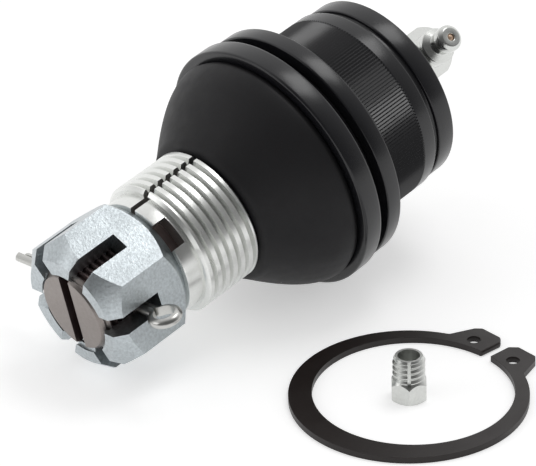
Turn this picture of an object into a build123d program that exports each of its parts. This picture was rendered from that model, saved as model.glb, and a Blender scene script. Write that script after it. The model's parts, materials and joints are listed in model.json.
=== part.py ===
from build123d import *
from math import atan2, cos, degrees, radians, sin, sqrt, tan
import os

# Heavy duty suspension ball joint with a split adjusting sleeve, laid on a bench
# beside its loose retaining ring and grease plug. Millimetres.
#
# The joint is drawn about its own axis first: the ball centre is the origin, +Z runs up
# the stud to its threaded end and -Z to the closed cap. bench() then lays it on its side.
# "station" means a height on that axis.

# ---------------------------------------------------------------- driving dimensions
MAX_TILT = 25.0            # how far the stud leans each way, degrees

# press-fit housing
BARREL_D = 50.8            # pressed into the arm
FLANGE_D = 63.8
FLANGE_T = 4.45
FLANGE_FACE = 13.0         # station of the flange's stud-side face
GROOVE_D = 47.9            # retaining ring groove
GROOVE_W = 1.75
GROOVE_TO_FLANGE = 19.7    # clamped length between the flange and the groove
END_LIP_D = 49.8
END_LIP_W = 5.3
SPIGOT_D = 51.0            # collar that carries the boot's foot
SPIGOT_TOP = 19.5
EDGE = 0.6                 # broken edges on the housing

# ball, bearings and end cover
BALL_D = 27.0
NECK_D = 17.0              # stud between the ball and its flare
LEAN_GAP = 0.6             # room round the neck at full lean
BALL_GAP = 0.08            # grease film between ball and seats
SEAT_WALL = 2.92           # wall of the seats round the ball's equator
SEAT_FIT = 0.05            # radial clearance of the seats in that bore
SEAT_SHOULDER = 7.0        # station of the shoulder the upper seat bears on
SEAT_SPLIT = 0.6           # each seat stops this far from the ball's equator
SEAT_DEPTH = 10.5          # how far the pressure seat reaches towards the cap
SEAT_EDGE = 5.6            # station where the upper seat lets go of the ball
SPRING_T = 1.1             # disc spring
SPRING_RISE = 0.9
SPRING_BORE_D = 21.0
COVER_T = 2.4
COVER_D = 39.0
COVER_FIT = 0.05
COVER_DISH = 2.0           # the cover bulges outwards to clear the ball
COVER_DISH_D = 22.0
CRIMP_T = 1.2              # rolled lip that keeps the cover in
CRIMP_BORE_D = 35.6
MOUTH_D = 41.0             # open end beyond the crimp
SEAL_WIRE_D = 1.6
SEAL_FIT = 0.05

# stud
LAND_D = 25.4              # cylinder that the boot's neck runs on
LAND_LENGTH = 9.0
TAPER = 1.0 / 8.0          # on diameter
STUD_THREAD_D = 22.2
STUD_LENGTH = 86.4         # ball centre to the tip
TIP_SLOT_W = 3.0           # screwdriver slot in the tip
TIP_SLOT_DEPTH = 4.0
TIP_SLOT_CLOCK = 0.0
TIP_BEVEL = 1.2
NECK_TOP = 26.0            # station where the neck starts to flare
BALL_FLAT = 12.6           # flat on the cap side of the ball

# adjusting sleeve
SLEEVE_D = 34.9
SLEEVE_FOOT = 42.0         # station of its boot-side end
SLEEVE_FIT = 0.02
SLEEVE_THREAD_L = 17.0
SLEEVE_COLLAR_D = 31.0
SLEEVE_BEVEL = 0.8
SLIT_W = 1.6
SLIT_CLOCK = 357.0
NOTCH_W = 7.5              # spanner notches in the collar
NOTCH_DEPTH = 3.6
NOTCH_COUNT = 2
NOTCH_CLOCK = 317.0

# castle nut and cotter pin
NUT_AF = 33.3
NUT_H = 23.0
NUT_SLOT_W = 4.7
NUT_SLOT_DEPTH = 13.5
NUT_SIDES = 6
NUT_CLOCK = 5.5
NUT_FACE_D = 32.0          # round face left by the end chamfers
NUT_CHAMFER_ANGLE = 30.0
NUT_MINOR_FIT = 0.02
COTTER_D = 3.2
COTTER_HOLE_D = 3.9
COTTER_STATION = 76.7
COTTER_SLOT = 2            # slots back from the nut's first one to the eye's slot
COTTER_LEG = 31.5          # tips beyond the stud's axis
COTTER_LEG_STEP = 2.2      # one leg is longer than the other
COTTER_SPLIT = 0.3
EYE_OUTER_D = 8.4
EYE_CENTRE = 22.6          # eye centre from the stud's axis
EYE_OPENING = 24.0         # degrees left open where the legs meet the eye

# rubber boot and its two rings
BASE_RING_D = 65.4
BASE_RING_T = 5.6
BASE_RING_BACK = 16.1
BASE_RING_WALL = 4.0
RING_EDGE = 0.7
BASE_RING_SEAM = 91.36     # clock of the ring's closing seam
BOOT_GAP = 0.3             # rubber stays this far off its neighbours
BOOT_WALL = 2.2
BOOT_FOOT_D = 61.6
BOOT_TOP_D = 36.4          # flat end against the sleeve
BOOT_TOP_ROUND = 1.8
BOOT_CROWNING = 0.9        # how far the flank swells beyond a plain cone
BOOT_FOOT_SLOPE = 0.3      # rise over run where the rubber leaves the base ring
BOOT_TOP_SLOPE = -0.7      # run over rise where it meets the flat end
HOLLOW_TOP_SLOPE = -0.5    # the same two slopes inside the dome
HOLLOW_FOOT_SLOPE = -0.6
CROWN_ROUND_OUT = 0.65     # middle of the rounded crown, as shares of its round
CROWN_ROUND_DOWN = 0.25
BOOT_BULGE_D = 60.6
BOOT_BULGE_STATION = 24.6
NECK_RING_WIRE_D = 2.0
NECK_RING_FIT = 0.05

# grease elbow and nipple
ELBOW_AF = 11.6
ELBOW_EDGE = 1.2
ELBOW_THREAD_D = 6.35
ELBOW_TOP = 39.1           # beyond the ball centre, cap side
ELBOW_CLOCK = -49.8
NIPPLE_STATION = 33.7
NIPPLE_REACH = 16.2        # stud axis to the nipple's mouth
NIPPLE_FACE_D = 4.0
NIPPLE_HEAD_D = 6.1
NIPPLE_HEAD_BEVEL = 1.2
NIPPLE_HEAD_L = 2.9        # face to the back of the head's land
NIPPLE_BACK_CONE = 1.2
NIPPLE_NECK_D = 4.6
NIPPLE_NECK_L = 1.6
NIPPLE_SHOULDER_CONE = 1.0
NIPPLE_SHOULDER_D = 8.8
NIPPLE_SHOULDER_L = 1.5
NIPPLE_STEM_D = 5.8
NIPPLE_STEM_L = 2.4
NIPPLE_BORE_D = 2.6
NIPPLE_MOUTH_D = 1.9
NIPPLE_LIP = 0.5           # wall in front of the check ball
CHECK_BALL_D = 2.2
CHECK_SPRING_L = 4.0
CHECK_SPRING_WIRE_D = 0.35
CHECK_SPRING_TURNS = 5
CHECK_FIT = 0.05
GREASE_WAY_D = 2.0

# retaining ring, loose on the bench
RING_FREE_D = 46.9
RING_T = 1.57
RING_BAND = 4.4            # mean band width
RING_OFFSET = 1.45         # the bore sits this much nearer the gap
RING_GAP = 2.6
LUG_HOLE_D = 3.2
LUG_HOLE_RADIUS = 28.1
LUG_HOLE_PITCH = 13.1
LUG_OUT = 32.8             # outer edge of the lugs from the ring's centre
LUG_HALF_W = 10.2          # from the gap's centre line to the lug's outer corner
LUG_ROOT_W = 13.0          # the same where the lug meets the band
LUG_BEVEL = 1.7
RING_PLACE = (-36.4, -61.6)
RING_CLOCK = -3.2

# grease plug, standing on its head inside the ring
PLUG_AF = 8.0
PLUG_EDGE = 0.5
PLUG_SHOULDER = 1.7        # cone between the hexagon and the shank
PLUG_HEAD_H = 6.0
PLUG_THREAD_D = 7.6
PLUG_ROOT_D = 6.7
PLUG_SHANK_L = 5.2
PLUG_LEAD = 1.0            # tapered start of the thread
PLUG_BORE_D = 5.2
PLUG_BORE_DEPTH = 5.0
PLUG_GROOVE_W = 0.8
PLUG_GROOVE_DEPTH = 0.6
PLUG_PLACE = (-36.2, -61.5)
PLUG_CLOCK = -135.0

# ---------------------------------------------------------------- derived stations
flange_back = FLANGE_FACE - FLANGE_T
groove_top = flange_back - GROOVE_TO_FLANGE
groove_bottom = groove_top - GROOVE_W
cap_end = groove_bottom - END_LIP_W
lean = tan(radians(MAX_TILT))
throat_offset = NECK_D / 2 / cos(radians(MAX_TILT)) + LEAN_GAP
seat_d = BALL_D + 2 * BALL_GAP + 2 * SEAT_WALL
cover_face = -(SEAT_DEPTH + SPRING_T + SPRING_RISE)
cover_back = cover_face - COVER_T
crimp_back = cover_back - CRIMP_T
boss_back = cover_back - COVER_DISH
land_start = SLEEVE_FOOT - LAND_LENGTH
nut_foot = STUD_LENGTH - NUT_H
nipple_seat = (NIPPLE_REACH - NIPPLE_HEAD_L - NIPPLE_BACK_CONE - NIPPLE_NECK_L
               - NIPPLE_SHOULDER_CONE - NIPPLE_SHOULDER_L)
sleeve_length = nut_foot - SLEEVE_FOOT
base_ring_front = BASE_RING_BACK + BASE_RING_T
base_ring_bore_r = BASE_RING_D / 2 - BASE_RING_WALL


def taper_r(station):
    """Radius of the stud's taper at a station."""
    return LAND_D / 2 - (station - SLEEVE_FOOT) * TAPER / 2


def throat_r(station):
    """Radius of the housing's mouth that lets the neck lean over."""
    return station * lean + throat_offset


# ---------------------------------------------------------------- shape helpers
def turned(points):
    """Solid of revolution about Z from (radius, station) points."""
    profile = make_face(Polyline([(r, 0, z) for r, z in points], close=True))
    return revolve(profile, Axis.Z)


def disc(diameter, bottom, top):
    """Plain cylinder on the axis between two stations."""
    return Pos(0, 0, bottom) * Cylinder(diameter / 2, top - bottom, align=(Align.CENTER, Align.CENTER, Align.MIN))


def ball(diameter):
    return Sphere(diameter / 2)


def torus(radius, wire_d, station):
    return Pos(0, 0, station) * Torus(radius, wire_d / 2)


def hex_prism(across_flats, bottom, top, clock):
    """Hexagonal bar with its first corner at the clock angle."""
    outline = RegularPolygon(across_flats / 2, 6, major_radius=False)
    first_corner = degrees(atan2(outline.vertices()[0].Y, outline.vertices()[0].X))
    return Pos(0, 0, bottom) * extrude(Rot(0, 0, clock - first_corner) * outline, top - bottom)


# ---------------------------------------------------------------- housing and inside
def make_housing():
    outer = turned([
        (0, cap_end),
        (END_LIP_D / 2 - EDGE, cap_end),
        (END_LIP_D / 2, cap_end + EDGE),
        (END_LIP_D / 2, groove_bottom),
        (GROOVE_D / 2, groove_bottom),
        (GROOVE_D / 2, groove_top),
        (BARREL_D / 2 - EDGE, groove_top),
        (BARREL_D / 2, groove_top + EDGE),
        (BARREL_D / 2, flange_back),
        (FLANGE_D / 2 - EDGE, flange_back),
        (FLANGE_D / 2, flange_back + EDGE),
        (FLANGE_D / 2, FLANGE_FACE - EDGE),
        (FLANGE_D / 2 - EDGE, FLANGE_FACE),
        (SPIGOT_D / 2, FLANGE_FACE),
        (SPIGOT_D / 2, SPIGOT_TOP - EDGE),
        (SPIGOT_D / 2 - EDGE, SPIGOT_TOP),
        (0, SPIGOT_TOP),
    ])
    throat = turned([
        (0, SEAT_SHOULDER - 1),
        (throat_r(SEAT_SHOULDER - 1), SEAT_SHOULDER - 1),
        (throat_r(SPIGOT_TOP + 1), SPIGOT_TOP + 1),
        (0, SPIGOT_TOP + 1),
    ])
    seat_bore = disc(seat_d, cover_face, SEAT_SHOULDER)
    cover_bore = disc(COVER_D + 2 * COVER_FIT, cover_back, cover_face)
    crimp_bore = disc(CRIMP_BORE_D, crimp_back, cover_back)
    mouth = disc(MOUTH_D, cap_end, crimp_back)
    return outer - throat - seat_bore - cover_bore - crimp_bore - mouth


def make_bearing_seat():
    """Stud-side seat: backs on the housing's shoulder and keeps the ball in."""
    ring = disc(seat_d - 2 * SEAT_FIT, SEAT_SPLIT, SEAT_SHOULDER)
    lean_room = turned([
        (0, SEAT_EDGE),
        (throat_r(SEAT_EDGE), SEAT_EDGE),
        (throat_r(SEAT_SHOULDER + 1), SEAT_SHOULDER + 1),
        (0, SEAT_SHOULDER + 1),
    ])
    return ring - ball(BALL_D + 2 * BALL_GAP) - lean_room


def make_pressure_seat():
    """Cap-side seat: the disc spring pushes it against the ball."""
    return disc(seat_d - 2 * SEAT_FIT, -SEAT_DEPTH, -SEAT_SPLIT) - ball(BALL_D + 2 * BALL_GAP)


def make_disc_spring():
    inner = SPRING_BORE_D / 2
    outer = seat_d / 2 - 4 * SEAT_FIT
    return turned([
        (outer, cover_face),
        (outer, cover_face + SPRING_T),
        (inner, cover_face + SPRING_T + SPRING_RISE),
        (inner, cover_face + SPRING_RISE),
    ])


def make_end_cover():
    dish_r = COVER_DISH_D / 2
    blank = turned([
        (0, cover_face - COVER_DISH),
        (dish_r - COVER_DISH, cover_face - COVER_DISH),
        (dish_r, cover_face),
        (COVER_D / 2, cover_face),
        (COVER_D / 2, cover_back),
        (dish_r + COVER_DISH / 2, cover_back),
        (dish_r - COVER_DISH / 2, boss_back),
        (0, boss_back),
    ])
    seal_r = COVER_D / 2 + SEAL_FIT - SEAL_WIRE_D / 2
    seal_station = (cover_face + cover_back) / 2
    seal_room = torus(seal_r, SEAL_WIRE_D, seal_station)
    tapped = disc(ELBOW_THREAD_D, boss_back - 1, cover_face)
    return blank - seal_room - tapped


def make_cover_seal():
    seal_r = COVER_D / 2 + SEAL_FIT - SEAL_WIRE_D / 2
    return torus(seal_r, SEAL_WIRE_D - 2 * SEAL_FIT, (cover_face + cover_back) / 2)


# ---------------------------------------------------------------- stud, sleeve and nut
def make_ball_stud():
    """Ball, waisted neck, boot land, taper and threaded end in one forging."""
    shank = turned([
        (0, 0),
        (NECK_D / 2, 0),
        (NECK_D / 2, NECK_TOP),
        (LAND_D / 2, land_start),
        (LAND_D / 2, SLEEVE_FOOT),
        (taper_r(nut_foot), nut_foot),
        (STUD_THREAD_D / 2, nut_foot),
        (STUD_THREAD_D / 2, STUD_LENGTH - TIP_BEVEL),
        (STUD_THREAD_D / 2 - TIP_BEVEL, STUD_LENGTH),
        (0, STUD_LENGTH),
    ])
    head = ball(BALL_D) - disc(BALL_D, -BALL_D, -BALL_FLAT)
    slot = Box(2 * STUD_THREAD_D, TIP_SLOT_W, TIP_SLOT_DEPTH, align=(Align.CENTER, Align.CENTER, Align.MAX))
    cross_hole = Cylinder(COTTER_HOLE_D / 2, 2 * STUD_THREAD_D)
    stud = shank + head
    stud -= Pos(0, 0, STUD_LENGTH) * Rot(0, 0, TIP_SLOT_CLOCK) * slot
    return stud - cotter_place() * Rot(0, 90, 0) * cross_hole


def cotter_place():
    """Place of the cotter pin: its X axis runs out through the eye."""
    slot_clock = NUT_CLOCK + (0.5 - COTTER_SLOT) * 360 / NUT_SIDES
    return Pos(0, 0, COTTER_STATION) * Rot(0, 0, slot_clock)


def make_adjusting_sleeve():
    """Split sleeve on the stud's taper, with spanner notches under the nut."""
    thread_end = SLEEVE_FOOT + SLEEVE_THREAD_L
    body = turned([
        (0, SLEEVE_FOOT),
        (SLEEVE_D / 2 - SLEEVE_BEVEL, SLEEVE_FOOT),
        (SLEEVE_D / 2, SLEEVE_FOOT + SLEEVE_BEVEL),
        (SLEEVE_D / 2, thread_end - SLEEVE_BEVEL),
        (SLEEVE_COLLAR_D / 2, thread_end + SLEEVE_BEVEL),
        (SLEEVE_COLLAR_D / 2, nut_foot),
        (0, nut_foot),
    ])
    bore = turned([
        (0, SLEEVE_FOOT - 1),
        (taper_r(SLEEVE_FOOT - 1) + SLEEVE_FIT, SLEEVE_FOOT - 1),
        (taper_r(nut_foot + 1) + SLEEVE_FIT, nut_foot + 1),
        (0, nut_foot + 1),
    ])
    slit = Pos(0, 0, SLEEVE_FOOT - 1) * Box(
        SLEEVE_D, SLIT_W, sleeve_length + 2, align=(Align.MIN, Align.CENTER, Align.MIN))
    notch = Pos(taper_r(nut_foot) + 1, 0, nut_foot) * Box(
        SLEEVE_D, NOTCH_W, NOTCH_DEPTH, align=(Align.MIN, Align.CENTER, Align.MAX))
    sleeve = body - bore - Rot(0, 0, SLIT_CLOCK) * slit
    for step in range(NOTCH_COUNT):
        sleeve -= Rot(0, 0, NOTCH_CLOCK + step * 360 / NOTCH_COUNT) * notch
    return sleeve


def make_castle_nut():
    corner_d = NUT_AF / cos(radians(180 / NUT_SIDES))
    blank = hex_prism(NUT_AF, nut_foot, STUD_LENGTH, NUT_CLOCK)
    drop = (corner_d - NUT_FACE_D) / 2 * tan(radians(NUT_CHAMFER_ANGLE))
    envelope = turned([
        (0, nut_foot),
        (NUT_FACE_D / 2, nut_foot),
        (corner_d / 2, nut_foot + drop),
        (corner_d / 2, STUD_LENGTH - drop),
        (NUT_FACE_D / 2, STUD_LENGTH),
        (0, STUD_LENGTH),
    ])
    bore = disc(STUD_THREAD_D + 2 * NUT_MINOR_FIT, nut_foot - 1, STUD_LENGTH + 1)
    slot = Pos(STUD_THREAD_D / 4, 0, STUD_LENGTH) * Box(
        NUT_AF, NUT_SLOT_W, NUT_SLOT_DEPTH, align=(Align.MIN, Align.CENTER, Align.MAX))
    nut = (blank & envelope) - bore
    for side in range(NUT_SIDES):
        clock = NUT_CLOCK + (side + 0.5) * 360 / NUT_SIDES
        nut -= Rot(0, 0, clock) * slot
    return nut


def make_cotter_pin():
    """Two half-round legs that meet in an eye."""
    wire = COTTER_D / 2
    eye_r = EYE_OUTER_D / 2 - wire / 2
    legs_start = EYE_CENTRE - eye_r
    legs = []
    for side, length in ((1, COTTER_LEG), (-1, COTTER_LEG - COTTER_LEG_STEP)):
        rod = Pos(-length, 0, 0) * Rot(0, 90, 0) * Cylinder(
            COTTER_D / 2, length + legs_start, align=(Align.CENTER, Align.CENTER, Align.MIN))
        half = Pos(-length, 0, side * COTTER_SPLIT / 2) * Box(
            length + legs_start, COTTER_D, COTTER_D,
            align=(Align.MIN, Align.CENTER, Align.MIN if side > 0 else Align.MAX))
        legs.append(rod & half)
    path = CenterArc((EYE_CENTRE, 0), eye_r, 180 + EYE_OPENING / 2, 360 - EYE_OPENING)
    start = Plane(origin=path @ 0, z_dir=path % 0)
    eye = Rot(90, 0, 0) * sweep(start * Circle(wire / 2), path)
    joint = Pos(legs_start, 0, 0) * Sphere(COTTER_D / 2)
    return cotter_place() * (legs[0] + legs[1] + eye + joint)


# ---------------------------------------------------------------- boot and its rings
def make_boot():
    """Rubber dome from the housing's collar to the neck of the stud."""
    foot_r = SPIGOT_D / 2 + BOOT_GAP
    sleeve_r = base_ring_bore_r - BOOT_GAP
    bead_top = BASE_RING_BACK - BOOT_GAP
    neck_r = LAND_D / 2 + BOOT_GAP
    bulge_r = BOOT_BULGE_D / 2
    top_r = BOOT_TOP_D / 2
    crown = SLEEVE_FOOT - BOOT_GAP
    flank_r = (bulge_r + top_r + BOOT_TOP_ROUND) / 2 + BOOT_CROWNING
    flank_station = (BOOT_BULGE_STATION + crown) / 2
    outside = Spline(
        (sleeve_r, 0, base_ring_front + BOOT_GAP),
        (bulge_r, 0, BOOT_BULGE_STATION),
        (flank_r, 0, flank_station),
        (top_r + BOOT_TOP_ROUND, 0, crown - BOOT_TOP_ROUND),
        tangents=[(1, 0, BOOT_FOOT_SLOPE), (BOOT_TOP_SLOPE, 0, 1)],
    )
    crown_round = ThreePointArc(
        (top_r + BOOT_TOP_ROUND, 0, crown - BOOT_TOP_ROUND),
        (top_r + CROWN_ROUND_OUT * BOOT_TOP_ROUND, 0, crown - CROWN_ROUND_DOWN * BOOT_TOP_ROUND),
        (top_r, 0, crown),
    )
    inside = Spline(
        (neck_r + BOOT_WALL, 0, crown - 2 * BOOT_WALL),
        (flank_r - BOOT_WALL, 0, flank_station - BOOT_WALL / 2),
        (bulge_r - BOOT_WALL, 0, BOOT_BULGE_STATION),
        (foot_r + BOOT_GAP, 0, base_ring_front - BOOT_GAP),
        tangents=[(1, 0, HOLLOW_TOP_SLOPE), (-1, 0, HOLLOW_FOOT_SLOPE)],
    )
    foot = Polyline(
        (foot_r + BOOT_GAP, 0, base_ring_front - BOOT_GAP),
        (foot_r, 0, SPIGOT_TOP - EDGE),
        (foot_r, 0, FLANGE_FACE + BOOT_GAP),
        (BOOT_FOOT_D / 2, 0, FLANGE_FACE + BOOT_GAP),
        (BOOT_FOOT_D / 2, 0, bead_top),
        (sleeve_r, 0, bead_top),
        (sleeve_r, 0, base_ring_front + BOOT_GAP),
    )
    neck = Polyline(
        (top_r, 0, crown),
        (neck_r, 0, crown),
        (neck_r, 0, crown - 2 * BOOT_WALL),
        (neck_r + BOOT_WALL, 0, crown - 2 * BOOT_WALL),
    )
    return revolve(make_face([outside, crown_round, neck, inside, foot]), Axis.Z)


def make_boot_base_ring():
    outer = BASE_RING_D / 2
    return Rot(0, 0, BASE_RING_SEAM) * turned([
        (base_ring_bore_r, BASE_RING_BACK),
        (outer - RING_EDGE, BASE_RING_BACK),
        (outer, BASE_RING_BACK + RING_EDGE),
        (outer, base_ring_front - RING_EDGE),
        (outer - RING_EDGE, base_ring_front),
        (base_ring_bore_r, base_ring_front),
    ])


def make_boot_neck_ring():
    """Wire ring that closes the boot's neck on the stud."""
    coil_r = LAND_D / 2 + NECK_RING_FIT + NECK_RING_WIRE_D / 2
    boot_neck_end = SLEEVE_FOOT - BOOT_GAP - 2 * BOOT_WALL
    return torus(coil_r, NECK_RING_WIRE_D, boot_neck_end - BOOT_GAP - NECK_RING_WIRE_D / 2)


# ---------------------------------------------------------------- grease fitting
def nipple_place():
    """Place of the nipple: its Z axis runs out of the nipple's mouth."""
    return Rot(0, 0, ELBOW_CLOCK) * Pos(0, 0, -NIPPLE_STATION) * Rot(0, 90, 0)


def make_grease_elbow():
    half = ELBOW_AF / 2
    corner_r = half / cos(radians(30))
    stem = hex_prism(ELBOW_AF, -ELBOW_TOP, boss_back, ELBOW_CLOCK + 30)
    shaped = stem & turned([
        (0, boss_back),
        (half, boss_back),
        (corner_r, boss_back - ELBOW_EDGE),
        (corner_r, -ELBOW_TOP + ELBOW_EDGE),
        (half, -ELBOW_TOP),
        (0, -ELBOW_TOP),
    ])
    arm = nipple_place() * disc(NIPPLE_SHOULDER_D, 0, nipple_seat)
    thread = disc(ELBOW_THREAD_D - 2 * CHECK_FIT, boss_back, cover_face - COVER_DISH + CHECK_FIT)
    socket = nipple_place() * disc(NIPPLE_STEM_D, nipple_seat - NIPPLE_STEM_L, nipple_seat + 1)
    way_in = nipple_place() * disc(GREASE_WAY_D, 0, nipple_seat)
    way_down = disc(GREASE_WAY_D, -NIPPLE_STATION, 0)
    return shaped + arm + thread - socket - way_in - way_down


def make_grease_nipple():
    stem_end = nipple_seat - NIPPLE_STEM_L + CHECK_FIT
    stem_r = NIPPLE_STEM_D / 2 - CHECK_FIT
    shoulder = nipple_seat + NIPPLE_SHOULDER_L
    neck = shoulder + NIPPLE_SHOULDER_CONE
    head = NIPPLE_REACH - NIPPLE_HEAD_L
    body = turned([
        (0, stem_end),
        (stem_r, stem_end),
        (stem_r, nipple_seat),
        (NIPPLE_SHOULDER_D / 2, nipple_seat),
        (NIPPLE_SHOULDER_D / 2, shoulder),
        (NIPPLE_NECK_D / 2, neck),
        (NIPPLE_NECK_D / 2, head - NIPPLE_BACK_CONE),
        (NIPPLE_HEAD_D / 2, head),
        (NIPPLE_HEAD_D / 2, NIPPLE_REACH - NIPPLE_HEAD_BEVEL),
        (NIPPLE_FACE_D / 2, NIPPLE_REACH),
        (0, NIPPLE_REACH),
    ])
    bore = disc(NIPPLE_BORE_D, stem_end - 1, NIPPLE_REACH - NIPPLE_LIP)
    mouth = disc(NIPPLE_MOUTH_D, NIPPLE_REACH - NIPPLE_LIP - 1, NIPPLE_REACH + 1)
    return nipple_place() * (body - bore - mouth)


def check_ball_centre():
    """Height of the check ball's centre, where it seals on the mouth's edge."""
    reach = CHECK_BALL_D / 2 + CHECK_FIT
    edge = NIPPLE_MOUTH_D / 2
    return NIPPLE_REACH - NIPPLE_LIP - sqrt(reach ** 2 - edge ** 2)


def make_check_ball():
    return nipple_place() * Pos(0, 0, check_ball_centre()) * ball(CHECK_BALL_D)


def make_check_spring():
    """Fine coil that returns the check ball."""
    wire_r = CHECK_SPRING_WIRE_D / 2
    coil_r = NIPPLE_BORE_D / 2 - CHECK_FIT - wire_r
    top = check_ball_centre() - sqrt((CHECK_BALL_D / 2 + wire_r + CHECK_FIT) ** 2 - coil_r ** 2)
    path = Helix(CHECK_SPRING_L / CHECK_SPRING_TURNS, CHECK_SPRING_L, coil_r)
    start = Plane(origin=path @ 0, z_dir=path % 0)
    coil = sweep(start * Circle(wire_r), path, is_frenet=True)
    return nipple_place() * Pos(0, 0, top - CHECK_SPRING_L) * coil


# ---------------------------------------------------------------- loose pieces
def make_retaining_ring():
    """Eccentric external ring with two drilled lugs, drawn with its gap along +X."""
    bore_r = RING_FREE_D / 2
    bore = Pos(RING_OFFSET, 0) * Circle(bore_r)
    band = Circle(bore_r + RING_BAND)
    hole_x = sqrt(LUG_HOLE_RADIUS ** 2 - (LUG_HOLE_PITCH / 2) ** 2)
    for side in (1, -1):
        band += make_face(Polyline(
            (bore_r, 0),
            (LUG_OUT, 0),
            (LUG_OUT, side * (LUG_HALF_W - LUG_BEVEL)),
            (LUG_OUT - LUG_BEVEL, side * LUG_HALF_W),
            (bore_r, side * LUG_ROOT_W),
            close=True,
        ))
    corner = RING_GAP / 2 + LUG_BEVEL
    band -= make_face(Polyline(
        (0, RING_GAP / 2),
        (LUG_OUT - LUG_BEVEL, RING_GAP / 2),
        (LUG_OUT + LUG_BEVEL, corner + LUG_BEVEL),
        (LUG_OUT + LUG_BEVEL, -corner - LUG_BEVEL),
        (LUG_OUT - LUG_BEVEL, -RING_GAP / 2),
        (0, -RING_GAP / 2),
        close=True,
    ))
    band -= bore
    for side in (1, -1):
        band -= Pos(hole_x, side * LUG_HOLE_PITCH / 2) * Circle(LUG_HOLE_D / 2)
    flat = extrude(band, RING_T)
    return Pos(*RING_PLACE, bench_level) * Rot(0, 0, RING_CLOCK) * flat


def make_grease_plug():
    """Hollow self-cutting plug, head down."""
    top = PLUG_HEAD_H + PLUG_SHANK_L
    corner_d = PLUG_AF / cos(radians(30))
    head = hex_prism(PLUG_AF, 0, PLUG_HEAD_H, PLUG_CLOCK)
    head &= turned([
        (0, 0),
        (PLUG_AF / 2, 0),
        (corner_d / 2, PLUG_EDGE),
        (corner_d / 2, PLUG_HEAD_H - PLUG_SHOULDER),
        (PLUG_THREAD_D / 2, PLUG_HEAD_H),
        (0, PLUG_HEAD_H),
    ])
    shank = turned([
        (0, PLUG_HEAD_H),
        (PLUG_THREAD_D / 2, PLUG_HEAD_H),
        (PLUG_THREAD_D / 2, top - PLUG_LEAD),
        (PLUG_ROOT_D / 2, top),
        (0, top),
    ])
    bore = disc(PLUG_BORE_D, top - PLUG_BORE_DEPTH, top + 1)
    groove = Rot(0, 0, PLUG_CLOCK) * Pos(PLUG_THREAD_D / 2 - PLUG_GROOVE_DEPTH, 0, PLUG_HEAD_H) * Box(
        PLUG_THREAD_D, PLUG_GROOVE_W, PLUG_SHANK_L + 1, align=(Align.MIN, Align.CENTER, Align.MIN))
    plug = head + shank - bore - groove
    return Pos(*PLUG_PLACE, bench_level) * plug


# ---------------------------------------------------------------- lying on the bench
nut_corner_r = NUT_AF / 2 / cos(radians(180 / NUT_SIDES))
nut_corner_station = STUD_LENGTH - (nut_corner_r - NUT_FACE_D / 2) * tan(radians(NUT_CHAMFER_ANGLE))
nut_low_r = nut_corner_r * cos(radians(NUT_CLOCK))
ring_low_r = BASE_RING_D / 2
ring_low_station = base_ring_front - RING_EDGE
droop = degrees(atan2(ring_low_r - nut_low_r, nut_corner_station - ring_low_station))
bench_level = -(ring_low_r * cos(radians(droop)) + ring_low_station * sin(radians(droop)))


def bench(shape):
    """Lay the joint on its side, resting on the boot's base ring and the nut."""
    return Rot(0, -90 - droop, 0) * shape


PARTS_OF_THE_JOINT = {
    "housing": make_housing,
    "bearing_seat": make_bearing_seat,
    "pressure_seat": make_pressure_seat,
    "disc_spring": make_disc_spring,
    "end_cover": make_end_cover,
    "cover_seal": make_cover_seal,
    "ball_stud": make_ball_stud,
    "adjusting_sleeve": make_adjusting_sleeve,
    "castle_nut": make_castle_nut,
    "cotter_pin": make_cotter_pin,
    "boot": make_boot,
    "boot_base_ring": make_boot_base_ring,
    "boot_neck_ring": make_boot_neck_ring,
    "grease_elbow": make_grease_elbow,
    "grease_nipple": make_grease_nipple,
    "check_ball": make_check_ball,
    "check_spring": make_check_spring,
}
LOOSE_PARTS = {
    "retaining_ring": make_retaining_ring,
    "grease_plug": make_grease_plug,
}

os.makedirs("parts", exist_ok=True)
for name, make in PARTS_OF_THE_JOINT.items():
    export_step(bench(make()), f"parts/{name}.step")
for name, make in LOOSE_PARTS.items():
    export_step(make(), f"parts/{name}.step")
print(f"droop {droop:.3f} degrees, bench level {bench_level:.3f}")
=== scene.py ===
import json
import math

import bpy
from mathutils import Matrix, Vector
from mathutils.geometry import interpolate_bezier

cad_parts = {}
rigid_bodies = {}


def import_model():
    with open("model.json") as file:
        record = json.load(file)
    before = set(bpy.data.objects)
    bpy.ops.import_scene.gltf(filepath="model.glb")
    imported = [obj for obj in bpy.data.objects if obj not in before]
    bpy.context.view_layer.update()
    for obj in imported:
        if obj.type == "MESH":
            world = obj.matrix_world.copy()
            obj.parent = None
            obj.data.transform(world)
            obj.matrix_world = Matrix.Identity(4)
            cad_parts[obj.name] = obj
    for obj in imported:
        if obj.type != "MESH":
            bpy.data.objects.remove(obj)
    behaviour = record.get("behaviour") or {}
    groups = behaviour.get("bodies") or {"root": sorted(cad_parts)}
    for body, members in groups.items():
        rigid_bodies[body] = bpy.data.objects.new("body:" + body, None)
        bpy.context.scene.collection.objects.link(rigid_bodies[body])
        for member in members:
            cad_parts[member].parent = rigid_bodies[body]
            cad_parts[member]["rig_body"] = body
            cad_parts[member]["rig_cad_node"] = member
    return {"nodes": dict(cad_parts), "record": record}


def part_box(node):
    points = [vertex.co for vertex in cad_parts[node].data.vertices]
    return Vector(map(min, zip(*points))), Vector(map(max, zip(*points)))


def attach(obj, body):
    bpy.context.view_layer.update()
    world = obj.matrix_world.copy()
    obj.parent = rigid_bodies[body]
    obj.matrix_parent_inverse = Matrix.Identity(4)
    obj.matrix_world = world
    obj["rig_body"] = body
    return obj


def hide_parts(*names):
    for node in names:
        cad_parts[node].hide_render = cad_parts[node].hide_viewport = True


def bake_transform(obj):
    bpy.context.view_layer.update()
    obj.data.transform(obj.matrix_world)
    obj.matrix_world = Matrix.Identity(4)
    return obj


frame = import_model()

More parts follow.
